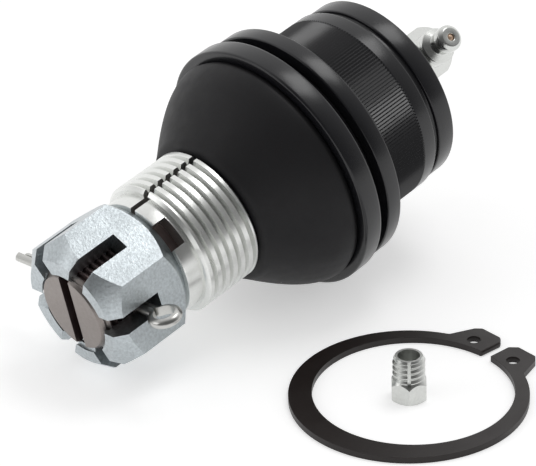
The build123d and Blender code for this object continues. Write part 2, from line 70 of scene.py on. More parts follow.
bl_info = {
    "name": "Suspension Ball Joint",
    "version": (1, 0, 0),
    "blender": (4, 5, 0),
    "location": "View3D > Sidebar > Ball Joint",
    "description": "Builds a press-fit ball joint with its boot, sleeve, nut, ring and plug",
    "category": "Add Mesh",
}

# ---------------------------------------------------------------- places and shared values
# Lengths are metres. Each joint piece is drawn upright about the joint's own axis, with the
# ball centre at the origin and the stud pointing up, and is laid on the bench when it is done.
# A station is a height along that axis, and a clock is an angle round it. A cutting tool starts
# OVERCUT outside what it cuts and passes out through the side by TOOL_REACH from the axis.
MM = 0.001
WELD = 0.002 * MM
FULL_TURN = 2 * math.pi
HEX_SIDES = 6
HALF_FACE = math.pi / HEX_SIDES
OVERCUT = 1.0 * MM
TOOL_REACH = 25 * MM
ON_SURFACE = 0.05 * MM
OVER_CREST = 0.02 * MM
EASE_SHARE = 2.2
EASE_STEPS = (0.0, 0.35, 0.65, 1.0)

MOUNTS = {mount["name"]: mount for mount in frame["record"]["mounts"]}
STUD_AXIS = -Vector(MOUNTS["press_fit_barrel"]["axis"])
DROOP = math.atan2(-STUD_AXIS.z, -STUD_AXIS.x)
LAY_TURN = -(math.pi / 2 + DROOP)
LAY = Matrix.Rotation(LAY_TURN, 4, "Y")
STAND = LAY.inverted()
BENCH_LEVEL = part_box("retaining_ring")[0].z


def stations(node):
    """Lowest and highest station of a CAD node along the joint's axis."""
    heights = [(STAND @ vertex.co).z for vertex in frame["nodes"][node].data.vertices]
    return min(heights), max(heights)


def widest(node):
    """Largest radius of a CAD node about the joint's axis."""
    points = [STAND @ vertex.co for vertex in frame["nodes"][node].data.vertices]
    return max(math.hypot(point.x, point.y) for point in points)


CAP_END, SPIGOT_TOP = stations("housing")
RING_BACK, RING_FRONT = stations("boot_base_ring")
BOOT_BACK, BOOT_CROWN = stations("boot")
SLEEVE_FOOT, SLEEVE_TOP = stations("adjusting_sleeve")
NUT_FOOT, NUT_FACE = stations("castle_nut")
COVER_LOW, COVER_FACE = stations("end_cover")
ELBOW_END = stations("grease_elbow")[0]


# ---------------------------------------------------------------- sizes and colours to change
# One helper for each kind of setting; angles are given in degrees.
def length(name, description, default):
    return bpy.props.FloatProperty(name=name, description=description, default=default, min=0.0,
                                   subtype="DISTANCE", unit="LENGTH", precision=5)


def angle(name, description, default):
    return bpy.props.FloatProperty(name=name, description=description,
                                   default=math.radians(default), subtype="ANGLE", unit="ROTATION")


def count(name, description, default):
    return bpy.props.IntProperty(name=name, description=description, default=default, min=1)


def factor(name, description, default, low=0.0, high=1000.0):
    return bpy.props.FloatProperty(name=name, description=description, default=default,
                                   min=low, max=high)


def colour(name, description, default):
    return bpy.props.FloatVectorProperty(name=name, description=description, default=default,
                                         size=3, min=0.0, max=1.0, subtype="COLOR")


class HousingSizes(bpy.types.PropertyGroup):
    barrel_r: length("Barrel radius", "Radius that is pressed into the arm", 25.4 * MM)
    flange_r: length("Flange radius", "Outer radius of the flange", widest("housing"))
    flange_face: length("Flange face", "Station of the flange's stud-side face", 13.0 * MM)
    flange_t: length("Flange thickness", "Thickness of the flange", 4.45 * MM)
    groove_r: length("Groove radius", "Radius at the bottom of the ring groove", 23.95 * MM)
    groove_w: length("Groove width", "Width of the ring groove", 1.75 * MM)
    lip_r: length("Lip radius", "Radius of the lip beyond the ring groove", 24.9 * MM)
    lip_w: length("Lip width", "Width of the lip beyond the ring groove", 5.3 * MM)
    spigot_r: length("Spigot radius", "Radius of the collar inside the boot's foot", 25.5 * MM)
    mouth_r: length("Mouth radius", "Radius of the open end round the cover", 20.5 * MM)
    crimp_r: length("Crimp radius", "Inner radius of the lip rolled over the cover", 17.8 * MM)
    knurl_count: count("Knurl teeth", "Straight serrations round the barrel", 192)
    knurl_depth: length("Knurl depth", "Depth of a serration", 0.3 * MM)
    knurl_margin: length("Knurl margin", "Plain barrel at each end of the knurl", 3.9 * MM)
    cover_t: length("Cover thickness", "Thickness of the end cover", 2.4 * MM)
    dish_r: length("Dish radius", "Radius of the cover's dished centre", 11.0 * MM)
    cover_bore_r: length("Cover bore radius", "Radius of the cover's hole for the elbow", 3.2 * MM)


class BootSizes(bpy.types.PropertyGroup):
    ring_r: length("Base ring radius", "Outer radius of the boot's base ring", widest("boot_base_ring"))
    ring_wall: length("Base ring wall", "Radial thickness of the base ring", 4.0 * MM)
    bulge_r: length("Bulge radius", "Widest radius of the rubber", 30.6 * MM)
    bulge_station: length("Bulge station", "Where the rubber is widest", 23.4 * MM)
    foot_r: length("Foot radius", "Outer radius of the rubber between flange and ring", 28.6 * MM)
    top_r: length("Crown radius", "Radius of the flat crown under the sleeve", 18.2 * MM)
    neck_r: length("Neck radius", "Radius of the hole for the stud", 13.0 * MM)
    wall: length("Rubber wall", "Thickness of the rubber", 2.2 * MM)


class SleeveSizes(bpy.types.PropertyGroup):
    crest_r: length("Crest radius", "Radius over the outside thread", 17.45 * MM)
    root_r: length("Root radius", "Radius at the bottom of the thread", 16.2 * MM)
    pitch: length("Thread pitch", "Distance between thread crests", 2.54 * MM)
    thread_l: length("Thread length", "Threaded length from the boot end", 17.0 * MM)
    collar_r: length("Collar radius", "Radius of the plain collar under the nut", 15.5 * MM)
    slit_w: length("Slit width", "Width of the slit that lets the sleeve close", 1.5 * MM)
    slit_clock: angle("Slit clock", "Where the slit is round the axis", 357.0)
    notch_w: length("Notch width", "Width of a spanner notch", 7.5 * MM)
    notch_depth: length("Notch depth", "Depth of a spanner notch", 3.6 * MM)
    notch_count: count("Notches", "Spanner notches round the collar", 2)
    notch_clock: angle("Notch clock", "Where the first notch is round the axis", 317.0)


class StudSizes(bpy.types.PropertyGroup):
    thread_r: length("Stud thread radius", "Radius of the stud's thread", 11.1 * MM)
    thread_pitch: length("Stud pitch", "Pitch of the stud's thread", 1.814 * MM)
    tip_face_r: length("Tip face radius", "Radius of the stud's flat tip", 9.7 * MM)
    slot_w: length("Tip slot width", "Width of the screwdriver slot", 3.3 * MM)
    slot_depth: length("Tip slot depth", "Depth of the screwdriver slot", 4.0 * MM)
    nut_af: length("Nut across flats", "Width of the castle nut across its flats", 33.3 * MM)
    nut_face_r: length("Nut face radius", "Radius of the nut's flat end face", 14.2 * MM)
    nut_chamfer: angle("Nut chamfer", "Angle of the nut's end chamfers", 45.0)
    nut_clock: angle("Nut clock", "Where the nut's first corner is", 5.5)
    nut_slot_w: length("Nut slot width", "Width of the castle slots", 4.7 * MM)
    nut_slot_depth: length("Nut slot depth", "Depth of the castle slots", 13.5 * MM)
    pin_d: length("Cotter diameter", "Diameter of the closed cotter pin", 3.2 * MM)
    pin_station: length("Cotter station", "Distance of the cotter from the ball centre", 76.7 * MM)
    pin_leg: length("Cotter leg", "Reach of the longer leg past the axis", 31.5 * MM)
    eye_r: length("Eye radius", "Radius of the cotter's eye to its wire's centre", 3.4 * MM)
    eye_centre: length("Eye centre", "Distance of the eye from the axis", 22.6 * MM)
    pin_flatness: factor("Wire flatness", "Width over thickness of the closed wire", 0.78,
                         low=0.5, high=1.0)


class FittingSizes(bpy.types.PropertyGroup):
    elbow_af: length("Elbow across flats", "Width of the elbow's hexagon", 11.6 * MM)
    boss_r: length("Boss radius", "Radius of the elbow's round boss", 4.4 * MM)
    head_r: length("Head radius", "Radius of the nipple's head", 3.4 * MM)
    nose_r: length("Nose radius", "Radius of the nipple's flat end", 2.5 * MM)
    neck_r: length("Neck radius", "Radius of the nipple behind its head", 2.75 * MM)
    shoulder_r: length("Shoulder radius", "Radius of the nipple's shoulder", 4.6 * MM)
    stem_r: length("Stem radius", "Radius of the nipple's stem inside the boss", 2.85 * MM)
    mouth_r: length("Mouth radius", "Radius of the mouth that the check ball shuts", 0.95 * MM)
    bore_r: length("Bore radius", "Radius of the grease bore", 1.3 * MM)


class LooseSizes(bpy.types.PropertyGroup):
    ring_corner_r: length("Ring corner radius", "Rounding of the ring's upright corners", 0.5 * MM)
    ring_edge: length("Ring edge", "Rounding of the ring's stamped edges", 0.16 * MM)
    plug_af: length("Plug across flats", "Width of the plug's head across flats", 8.0 * MM)
    plug_thread_r: length("Plug thread radius", "Radius over the plug's thread", 3.8 * MM)
    plug_pitch: length("Plug pitch", "Pitch of the plug's thread", 1.4 * MM)


class Finishes(bpy.types.PropertyGroup):
    paint: colour("Black paint", "Satin paint on the housing and base ring", (0.010, 0.010, 0.012))
    rubber: colour("Rubber", "Boot rubber", (0.011, 0.0105, 0.012))
    sleeve_zinc: colour("Sleeve zinc", "Bright zinc on the sleeve", (0.80, 0.81, 0.79))
    nut_zinc: colour("Nut zinc", "Blue-white zinc on the nut", (0.49, 0.53, 0.55))
    stud_steel: colour("Stud steel", "Machined stud", (0.30, 0.27, 0.255))
    pin_steel: colour("Pin steel", "Drawn cotter wire", (0.56, 0.56, 0.54))
    fitting_zinc: colour("Fitting zinc", "Zinc on the grease fitting", (0.66, 0.67, 0.65))
    phosphate: colour("Phosphate", "Black-brown ring", (0.015, 0.0105, 0.0095))
    brass: colour("Check ball", "Tan check ball in the nipple", (0.60, 0.42, 0.30))
    dust: colour("Dust", "Specks of dust on the rubber", (0.55, 0.54, 0.5))
    # Painted shade: a dark tone laid on the stud's thread inside the sleeve and nut, and on its tip
    # slot's floor and walls.
    stud_recess: colour("Stud recesses", "Dark thread and slot of the stud", (0.17, 0.13, 0.125))
    spring_steel: colour("Spring steel", "Springs and the boot's wire ring", (0.22, 0.22, 0.23))
    seat: colour("Seats", "Sintered seats of the ball", (0.22, 0.21, 0.2))
    seal: colour("Cover seal", "Rubber ring under the cover", (0.015, 0.015, 0.015))


class StageSettings(bpy.types.PropertyGroup):
    lens: factor("Lens", "Focal length in mm on a 36 mm sensor", 184.904)
    sky: factor("Sky", "Strength of the room's light", 0.55)
    booth_front: factor("Booth front", "What metal sees behind the camera", 0.12)
    key: factor("Key", "Power of the overhead softbox in watts", 1.1)
    fill: factor("Fill", "Power of the side softbox in watts", 0.7)
    floor: colour("Floor", "Matt colour of the bench", (0.86, 0.86, 0.86))
    floor_glow: factor("Floor glow", "How far the bench glows for the camera and for metal", 0.45)


SETTINGS = {
    "housing_sizes": HousingSizes,
    "boot_sizes": BootSizes,
    "sleeve_sizes": SleeveSizes,
    "stud_sizes": StudSizes,
    "fitting_sizes": FittingSizes,
    "loose_sizes": LooseSizes,
    "joint_finishes": Finishes,
    "stage_settings": StageSettings,
}


# ---------------------------------------------------------------- modelling by hand
def activate(piece):
    """Leaves only this piece selected and active."""
    bpy.ops.object.select_all(action="DESELECT")
    piece.select_set(True)
    bpy.context.view_layer.objects.active = piece


def edit(piece):
    """Opens a piece in edit mode with all of it selected."""
    activate(piece)
    bpy.ops.object.mode_set(mode="EDIT")
    bpy.ops.mesh.select_all(action="SELECT")


def leave_edit():
    """Back to object mode."""
    bpy.ops.object.mode_set(mode="OBJECT")


def select_nothing(piece):
    """Clears the selection inside a piece, so that points or edges can be picked one by one."""
    edit(piece)
    bpy.ops.mesh.select_all(action="DESELECT")
    leave_edit()


def name_piece(name):
    """Names the newest piece and its mesh."""
    piece = bpy.context.object
    piece.name = name
    piece.data.name = name
    return piece


def eased(profile, ease):
    """Rounds the corners of a (radius, station) profile, all but its two ends."""
    points = [Vector(point) for point in profile]
    smooth = [points[0]]
    for before, corner, after in zip(points, points[1:], points[2:]):
        arriving = before - corner
        leaving = after - corner
        start = corner + arriving.normalized() * min(ease, arriving.length / EASE_SHARE)
        end = corner + leaving.normalized() * min(ease, leaving.length / EASE_SHARE)
        for share in EASE_STEPS:
            smooth.append(start.lerp(corner, share).lerp(corner.lerp(end, share), share))
    smooth.append(points[-1])
    return [tuple(point) for point in smooth]


def curve_points(start, start_pull, end_pull, end, points):
    """Points of a smooth stretch of a profile, pulled by two handles."""
    handles = [Vector((*pair, 0.0)) for pair in (start, start_pull, end_pull, end)]
    return [(point.x, point.y) for point in interpolate_bezier(*handles, points)]


def one_point(name, radius, station):
    """A tiny plane merged to a single point, the start of a drawn profile."""
    bpy.ops.object.select_all(action="DESELECT")
    bpy.ops.mesh.primitive_plane_add(size=MM)
    piece = name_piece(name)
    edit(piece)
    bpy.ops.mesh.merge(type="CENTER")
    bpy.ops.transform.translate(value=(radius, 0, station))
    return piece


def draw_profile(name, profile):
    """Draws a profile in the X-Z plane, one extruded point after another."""
    piece = one_point(name, *profile[0])
    for (radius, station), (next_radius, next_station) in zip(profile, profile[1:]):
        step = (next_radius - radius, 0, next_station - station)
        bpy.ops.mesh.extrude_region_move(TRANSFORM_OT_translate={"value": step})
    return piece


def tidy_mesh():
    """Welds doubles and turns every face outwards; edit mode only."""
    bpy.ops.mesh.select_all(action="SELECT")
    bpy.ops.mesh.remove_doubles(threshold=WELD)
    bpy.ops.mesh.normals_make_consistent(inside=False)


def close_ends():
    """Fills every hole, then tidies; edit mode only."""
    bpy.ops.mesh.select_all(action="SELECT")
    bpy.ops.mesh.fill_holes(sides=0)
    tidy_mesh()


def slice_off(station, **side):
    """Cuts away what lies past a station, and leaves the rest selected; edit mode only."""
    bpy.ops.mesh.bisect(plane_co=(0, 0, station), plane_no=(0, 0, 1), threshold=WELD, **side)
    bpy.ops.mesh.select_all(action="SELECT")


def turned(name, profile, steps=96):
    """Spins a profile about the upright axis."""
    piece = draw_profile(name, profile)
    bpy.ops.mesh.select_all(action="SELECT")
    bpy.ops.mesh.spin(steps=steps, angle=FULL_TURN, center=(0, 0, 0), axis=(0, 0, 1))
    tidy_mesh()
    leave_edit()
    return piece


def rod(name, radius, low, high, steps=64):
    """Plain cylinder on the axis between two stations."""
    bpy.ops.object.select_all(action="DESELECT")
    bpy.ops.mesh.primitive_cylinder_add(vertices=steps, radius=radius, depth=high - low,
                                        location=(0, 0, (low + high) / 2))
    return name_piece(name)


def block(name, low, high):
    """Box between two corners."""
    bpy.ops.object.select_all(action="DESELECT")
    centre = (Vector(low) + Vector(high)) / 2
    size = Vector(high) - Vector(low)
    bpy.ops.mesh.primitive_cube_add(size=1, location=centre, scale=size)
    settle_place(bpy.context.object)
    return name_piece(name)


def settle_place(piece):
    """Moves a piece's place, turn and size into its mesh."""
    activate(piece)
    bpy.ops.object.transform_apply(location=True, rotation=True, scale=True)


def place(piece, matrix):
    """Carries a piece by a matrix, into its mesh."""
    piece.matrix_world = matrix @ piece.matrix_world
    settle_place(piece)
    return piece


def clocked(piece, clock):
    """Turns a piece about the upright axis."""
    return place(piece, Matrix.Rotation(clock, 4, "Z"))


def apply_modifier(piece, modifier):
    """Makes a modifier's result the piece's own mesh."""
    activate(piece)
    bpy.ops.object.modifier_apply(modifier=modifier.name)


def combine(piece, tool, operation):
    """Joins, cuts or trims a piece with a tool, which is used up."""
    modifier = piece.modifiers.new("combine", "BOOLEAN")
    modifier.operation = operation
    modifier.solver = "EXACT"
    modifier.object = tool
    apply_modifier(piece, modifier)
    bpy.data.objects.remove(tool)
    return piece


def cut(piece, tool):
    """Takes a tool's shape out of a piece."""
    return combine(piece, tool, "DIFFERENCE")


def join(piece, tool):
    """Makes a piece and a tool one."""
    return combine(piece, tool, "UNION")


def trim(piece, tool):
    """Keeps what lies inside both a piece and a tool."""
    return combine(piece, tool, "INTERSECT")


def break_edges(piece, width, segments=2, sharper_than=30.0):
    """Small rounds on the sharp edges."""
    modifier = piece.modifiers.new("edges", "BEVEL")
    modifier.width = width
    modifier.segments = segments
    modifier.limit_method = "ANGLE"
    modifier.angle_limit = math.radians(sharper_than)
    modifier.miter_outer = "MITER_ARC"
    apply_modifier(piece, modifier)


def shade(piece, sharp_angle=35.0):
    """Smooth rounds, with sharp edges past an angle in degrees."""
    activate(piece)
    bpy.ops.object.shade_smooth_by_angle(angle=math.radians(sharp_angle))


def level_flats(piece):
    """Keeps flat faces looking flat beside their rounded edges."""
    modifier = piece.modifiers.new("flats", "WEIGHTED_NORMAL")
    modifier.keep_sharp = True
    modifier.weight = 90
    apply_modifier(piece, modifier)


def over_corners(across_flats):
    """Radius over the corners of a hexagon."""
    return across_flats / 2 / math.cos(HALF_FACE)


def hex_bar(name, across_flats, low, high, clock):
    """Hexagonal bar with a corner at the clock angle."""
    bar = rod(name, over_corners(across_flats), low, high, HEX_SIDES)
    settle_place(bar)
    first = bar.data.vertices[0].co
    return clocked(bar, clock - math.atan2(first.y, first.x))


def thread_rod(name, crest_r, root_r, pitch, low, high, crest=0.16, steps=96):
    """Closed rod with a screw thread between two stations; crest is its flat's share of the pitch."""
    depth = crest_r - root_r
    root = 0.06
    tooth = [(0.0, 0.0), (root, 0.0), (0.5 - crest / 2, depth), (0.5 + crest / 2, depth),
             (1.0 - root, 0.0), (1.0, 0.0)]
    profile = [(root_r + rise, low - pitch + share * pitch) for share, rise in tooth]
    piece = draw_profile(name, profile)
    leave_edit()
    modifier = piece.modifiers.new("helix", "SCREW")
    modifier.axis = "Z"
    modifier.screw_offset = pitch
    modifier.iterations = math.ceil((high - low) / pitch) + 2
    modifier.steps = steps
    modifier.render_steps = steps
    apply_modifier(piece, modifier)
    edit(piece)
    bpy.ops.mesh.remove_doubles(threshold=WELD)
    slice_off(low, clear_inner=True)
    slice_off(high, clear_outer=True)
    bpy.ops.mesh.remove_doubles(threshold=WELD)
    close_ends()
    leave_edit()
    return piece


# ---------------------------------------------------------------- finishes
GROUPS = {}
PAINTS = {}


def feed(tree, socket, value):
    """Links a socket to another socket, or sets it to a plain value."""
    if isinstance(value, bpy.types.NodeSocket):
        tree.links.new(value, socket)
    else:
        socket.default_value = value


def add_node(tree, kind, operation=None, **inputs):
    """New node with its inputs fed; an underscore in a name stands for a space."""
    node = tree.nodes.new(kind)
    if operation:
        node.operation = operation
    for name, value in inputs.items():
        feed(tree, node.inputs[name.replace("_", " ")], value)
    return node


def worked_out(tree, operation, first, second=0.0):
    """One sum on the node tree."""
    node = add_node(tree, "ShaderNodeMath", operation)
    feed(tree, node.inputs[0], first)
    feed(tree, node.inputs[1], second)
    return node.outputs["Value"]


def facing(tree, vector, direction):
    """How far a vector points along a direction."""
    node = add_node(tree, "ShaderNodeVectorMath", "DOT_PRODUCT")
    feed(tree, node.inputs[0], vector)
    feed(tree, node.inputs[1], direction)
    return node.outputs["Value"]


def new_group(name, inputs, outputs):
    """Shader node group, with its input and output sockets; every input but Vector is a number."""
    group = bpy.data.node_groups.new(name, "ShaderNodeTree")
    group.interface.new_socket("Vector", in_out="INPUT", socket_type="NodeSocketVector")
    for socket, default in inputs.items():
        made = group.interface.new_socket(socket, in_out="INPUT", socket_type="NodeSocketFloat")
        made.default_value = default
    for socket in outputs:
        group.interface.new_socket(socket, in_out="OUTPUT", socket_type="NodeSocketFloat")
    given = group.nodes.new("NodeGroupInput").outputs
    results = group.nodes.new("NodeGroupOutput").inputs
    return group, given, results


def stood_up(tree, vector):
    """The piece's coordinates turned upright, and their station."""
    turn = (0.0, -LAY_TURN, 0.0)
    upright = add_node(tree, "ShaderNodeMapping", Rotation=turn, Vector=vector).outputs["Vector"]
    split = add_node(tree, "ShaderNodeSeparateXYZ", Vector=upright)
    return upright, split.outputs["Z"]


def grain_group():
    """Fine mottling: a value round one, for tone and for gloss, and a height for relief."""
    group, given, results = new_group("plating_grain", {"Scale": 900.0, "Strength": 0.2},
                                      ["Tone", "Height"])
    noise = add_node(group, "ShaderNodeTexNoise", Detail=3.0, Roughness=0.62,
                     Vector=given["Vector"], Scale=given["Scale"]).outputs["Fac"]
    swing = worked_out(group, "SUBTRACT", noise, 0.5)
    scaled = worked_out(group, "MULTIPLY", swing, given["Strength"])
    doubled = worked_out(group, "MULTIPLY", scaled, 2.0)
    feed(group, results["Tone"], worked_out(group, "ADD", doubled, 1.0))
    feed(group, results["Height"], noise)
    return group


def turning_group():
    """Lathe rings about the joint's axis: a height that rises and falls with the station."""
    group, given, results = new_group("turning_marks", {"Spacing": 0.3 * MM}, ["Height"])
    station = stood_up(group, given["Vector"])[1]
    turns = worked_out(group, "DIVIDE", station, given["Spacing"])
    angle_round = worked_out(group, "MULTIPLY", turns, FULL_TURN)
    feed(group, results["Height"], worked_out(group, "SINE", angle_round))
    return group


def specks_group():
    """Dust: a mask of small scattered specks."""
    group, given, results = new_group("dust_specks", {"Scale": 160.0, "Size": 0.05}, ["Mask"])
    cells = add_node(group, "ShaderNodeTexVoronoi", Vector=given["Vector"], Scale=given["Scale"])
    near = worked_out(group, "LESS_THAN", cells.outputs["Distance"], given["Size"])
    feed(group, results["Mask"], near)
    return group


def painted_shade_group(name, regions):
    """Mask of slots and bands where shade is painted, each a (clock, half width, lowest and highest
    station).
    """
    group, given, results = new_group(name, {}, ["Mask"])
    upright, station = stood_up(group, given["Vector"])
    mask = None
    for clock, half, low, high in regions:
        across = facing(group, upright, (-math.sin(clock), math.cos(clock), 0.0))
        offset = worked_out(group, "ABSOLUTE", across)
        inside = worked_out(group, "LESS_THAN", offset, half)
        above = worked_out(group, "GREATER_THAN", station, low)
        below = worked_out(group, "LESS_THAN", station, high)
        within = worked_out(group, "MULTIPLY", above, below)
        region = worked_out(group, "MULTIPLY", inside, within)
        mask = region if mask is None else worked_out(group, "MAXIMUM", mask, region)
    feed(group, results["Mask"], mask)
    return group


def place_group(tree, group, vector, **values):
    """One of the shared groups, placed in a material with its own values."""
    node = tree.nodes.new("ShaderNodeGroup")
    node.node_tree = GROUPS[group]
    feed(tree, node.inputs["Vector"], vector)
    for socket, value in values.items():
        feed(tree, node.inputs[socket], value)
    return node.outputs


def blended(tree, tint, mask, over):
    """A colour laid over another where a mask says."""
    blend = tree.nodes.new("ShaderNodeMix")
    blend.data_type = "RGBA"
    feed(tree, blend.inputs["Factor"], mask)
    feed(tree, blend.inputs["A"], tint)
    feed(tree, blend.inputs["B"], (*over, 1.0))
    return blend.outputs["Result"]


def raised(tree, height, distance, under):
    """Relief of a height, over the relief under it if there is any."""
    bump = add_node(tree, "ShaderNodeBump", Strength=1.0, Distance=distance, Height=height)
    if under is not None:
        feed(tree, bump.inputs["Normal"], under)
    return bump.outputs["Normal"]


def surface(name, base, roughness, grain, metallic=1.0, grain_scale=1500.0, relief=0.0, specular=0.5,
            gloss_swing=0.3, rings=None, specks=None, recess=None):
    """A finish: its colour, gloss and relief, and any painted shade, all from the piece's own
    coordinates.
    """
    material = bpy.data.materials.new(name)
    material.use_nodes = True
    tree = material.node_tree
    shader = tree.nodes["Principled BSDF"].inputs
    shader["Metallic"].default_value = metallic
    shader["Specular IOR Level"].default_value = specular
    where = tree.nodes.new("ShaderNodeTexCoord").outputs["Object"]
    coarser = 9
    mottle = place_group(tree, "grain", where, Scale=grain_scale, Strength=grain)
    broad = place_group(tree, "grain", where, Scale=grain_scale / coarser, Strength=gloss_swing)
    toned = add_node(tree, "ShaderNodeVectorMath", "SCALE", Vector=base, Scale=mottle["Tone"])
    tint = toned.outputs["Vector"]
    if specks:
        scale, size, dust = specks
        spots = place_group(tree, "specks", where, Scale=scale, Size=size)
        tint = blended(tree, tint, spots["Mask"], dust)
    # Painted shade: a dark tone laid over the colour where the mask says.
    if recess:
        group, dark = recess
        tint = blended(tree, tint, place_group(tree, group, where)["Mask"], dark)
    feed(tree, shader["Base Color"], tint)
    feed(tree, shader["Roughness"], worked_out(tree, "MULTIPLY", broad["Tone"], roughness))
    normal = None
    if relief:
        normal = raised(tree, mottle["Height"], relief, normal)
    if rings:
        spacing, ring_relief = rings
        turning = place_group(tree, "turning", where, Spacing=spacing)
        normal = raised(tree, turning["Height"], ring_relief, normal)
    if normal is not None:
        feed(tree, shader["Normal"], normal)
    return material


def stud_recesses(sizes):
    """Where shade is painted on the stud: its thread behind the tip, and the slot's floor and walls."""
    everywhere = 100 * MM
    unshaded_tip = 2.3 * MM
    behind_tip = (0.0, everywhere, SLEEVE_FOOT - OVERCUT, NUT_FACE - unshaded_tip)
    slot = (0.0, sizes.slot_w / 2 + ON_SURFACE, NUT_FACE - sizes.slot_depth - 2 * ON_SURFACE,
            NUT_FACE - ON_SURFACE)
    return [behind_tip, slot]


def mix_finishes():
    """Makes every finish from the colours in the panel."""
    tones = bpy.context.scene.joint_finishes
    recesses = stud_recesses(bpy.context.scene.stud_sizes)
    dust_scale = 75.0
    dust_size = 0.016
    ring_spacing = 0.35 * MM
    ring_relief = 0.003 * MM
    GROUPS.update(grain=grain_group(), turning=turning_group(), specks=specks_group(),
                  stud_recesses=painted_shade_group("stud_recesses", recesses))
    PAINTS.update(
        paint=surface("satin_black_paint", tones.paint, roughness=0.24, grain=0.25, metallic=0.0,
                      relief=0.003 * MM, gloss_swing=0.25),
        rubber=surface("boot_rubber", tones.rubber, roughness=0.55, grain=0.25, metallic=0.0,
                       grain_scale=2500.0, relief=0.006 * MM, specular=0.3, gloss_swing=0.2,
                       specks=(dust_scale, dust_size, tones.dust)),
        sleeve=surface("bright_sleeve_zinc", tones.sleeve_zinc, roughness=0.3, grain=0.08,
                       grain_scale=1400.0, relief=0.004 * MM),
        nut=surface("grained_nut_zinc", tones.nut_zinc, roughness=0.36, grain=0.42, relief=0.07 * MM,
                    gloss_swing=0.35),
        # The stud gets painted shade on its thread inside the sleeve and nut, and in its tip slot.
        stud=surface("machined_stud", tones.stud_steel, roughness=0.42, grain=0.15, grain_scale=1200.0,
                     relief=0.004 * MM, rings=(ring_spacing, ring_relief),
                     recess=("stud_recesses", tones.stud_recess)),
        pin=surface("drawn_pin_wire", tones.pin_steel, roughness=0.3, grain=0.12, relief=0.003 * MM),
        fitting=surface("fitting_zinc", tones.fitting_zinc, roughness=0.25, grain=0.08,
                        grain_scale=1200.0, relief=0.003 * MM),
        phosphate=surface("black_phosphate", tones.phosphate, roughness=0.4, grain=0.35, metallic=0.0,
                          relief=0.006 * MM, specular=0.4),
        brass=surface("tan_check_ball", tones.brass, roughness=0.3, grain=0.05, metallic=0.6),
        plug=surface("plug_zinc", tones.fitting_zinc, roughness=0.34, grain=0.15, relief=0.008 * MM),
        spring=surface("dark_spring_steel", tones.spring_steel, roughness=0.35, grain=0.1),
        seat=surface("sintered_seat", tones.seat, roughness=0.6, grain=0.25, metallic=0.6,
                     grain_scale=2000.0, relief=0.01 * MM),
        seal=surface("seal_rubber", tones.seal, roughness=0.55, grain=0.1, metallic=0.0,
                     grain_scale=2000.0),
    )


def dress(piece, paint, node):
    """Paints a piece and hides the CAD node it stands for."""
    piece.data.materials.clear()
    piece.data.materials.append(PAINTS[paint])
    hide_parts(node)


def finish_piece(piece, body, paint, node):
    """Dresses a piece that rides on one body."""
    dress(piece, paint, node)
    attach(piece, body)


# ---------------------------------------------------------------- housing
def knurl(piece, sizes, low, high):
    """Pulls every other column of the barrel inwards between two stations."""
    columns = 2 * sizes.knurl_count
    select_nothing(piece)
    for vertex in piece.data.vertices:
        column = round(math.atan2(vertex.co.y, vertex.co.x) / FULL_TURN * columns) % 2
        on_barrel = abs(math.hypot(vertex.co.x, vertex.co.y) - sizes.barrel_r) < ON_SURFACE
        vertex.select = on_barrel and column == 1 and low < vertex.co.z < high
    bpy.ops.object.mode_set(mode="EDIT")
    bpy.ops.mesh.select_mode(type="VERT")
    inwards = 1 - sizes.knurl_depth / sizes.barrel_r
    bpy.ops.transform.resize(value=(inwards, inwards, 1), center_override=(0, 0, 0))
    leave_edit()


def crisp_knurl(piece, sizes, low, high):
    """Leaves the flanks of the serrations flat."""
    for face in piece.data.polygons:
        depth = abs(math.hypot(face.center.x, face.center.y) - sizes.barrel_r)
        if depth < sizes.knurl_depth and low < face.center.z < high:
            face.use_smooth = False


def build_housing(sizes):
    """Barrel, flange, ring groove and the bores for seats and cover."""
    ease = 0.45 * MM
    flange_back = sizes.flange_face - sizes.flange_t
    lip_front = CAP_END + sizes.lip_w
    groove_top = lip_front + sizes.groove_w
    knurl_low = groove_top + sizes.knurl_margin
    knurl_high = flange_back - sizes.knurl_margin
    run_out = 0.35 * MM
    throat_r = 13.2 * MM
    throat_mouth_r = 19.1 * MM
    seat_r = 16.5 * MM
    seat_shoulder = 7.0 * MM
    cover_gap = 0.05 * MM
    cover_r = widest("end_cover") + cover_gap
    cover_back = COVER_FACE - sizes.cover_t
    crimp_t = 1.2 * MM
    crimp_back = cover_back - crimp_t
    outside = eased([
        (sizes.crimp_r, cover_back),
        (sizes.crimp_r, crimp_back),
        (sizes.mouth_r, crimp_back),
        (sizes.mouth_r, CAP_END),
        (sizes.lip_r, CAP_END),
        (sizes.lip_r, lip_front),
        (sizes.groove_r, lip_front),
        (sizes.groove_r, groove_top),
        (sizes.barrel_r, groove_top),
        (sizes.barrel_r, knurl_low - run_out),
    ], ease)
    band = [(sizes.barrel_r, knurl_low), (sizes.barrel_r, knurl_low + run_out),
            (sizes.barrel_r, knurl_high - run_out), (sizes.barrel_r, knurl_high)]
    top = eased([
        (sizes.barrel_r, knurl_high + run_out),
        (sizes.barrel_r, flange_back),
        (sizes.flange_r, flange_back),
        (sizes.flange_r, sizes.flange_face),
        (sizes.spigot_r, sizes.flange_face),
        (sizes.spigot_r, SPIGOT_TOP),
        (throat_mouth_r, SPIGOT_TOP),
        (throat_r, seat_shoulder),
        (seat_r, seat_shoulder),
        (seat_r, COVER_FACE),
        (cover_r, COVER_FACE),
        (cover_r, cover_back),
        (sizes.crimp_r, cover_back),
    ], ease)
    piece = turned("housing_shell", outside + band + top, 2 * sizes.knurl_count)
    knurl(piece, sizes, knurl_low + run_out / 2, knurl_high - run_out / 2)
    shade(piece, sharp_angle=38.0)
    crisp_knurl(piece, sizes, knurl_low, knurl_high)
    place(piece, LAY)
    finish_piece(piece, "housing", "paint", "housing")


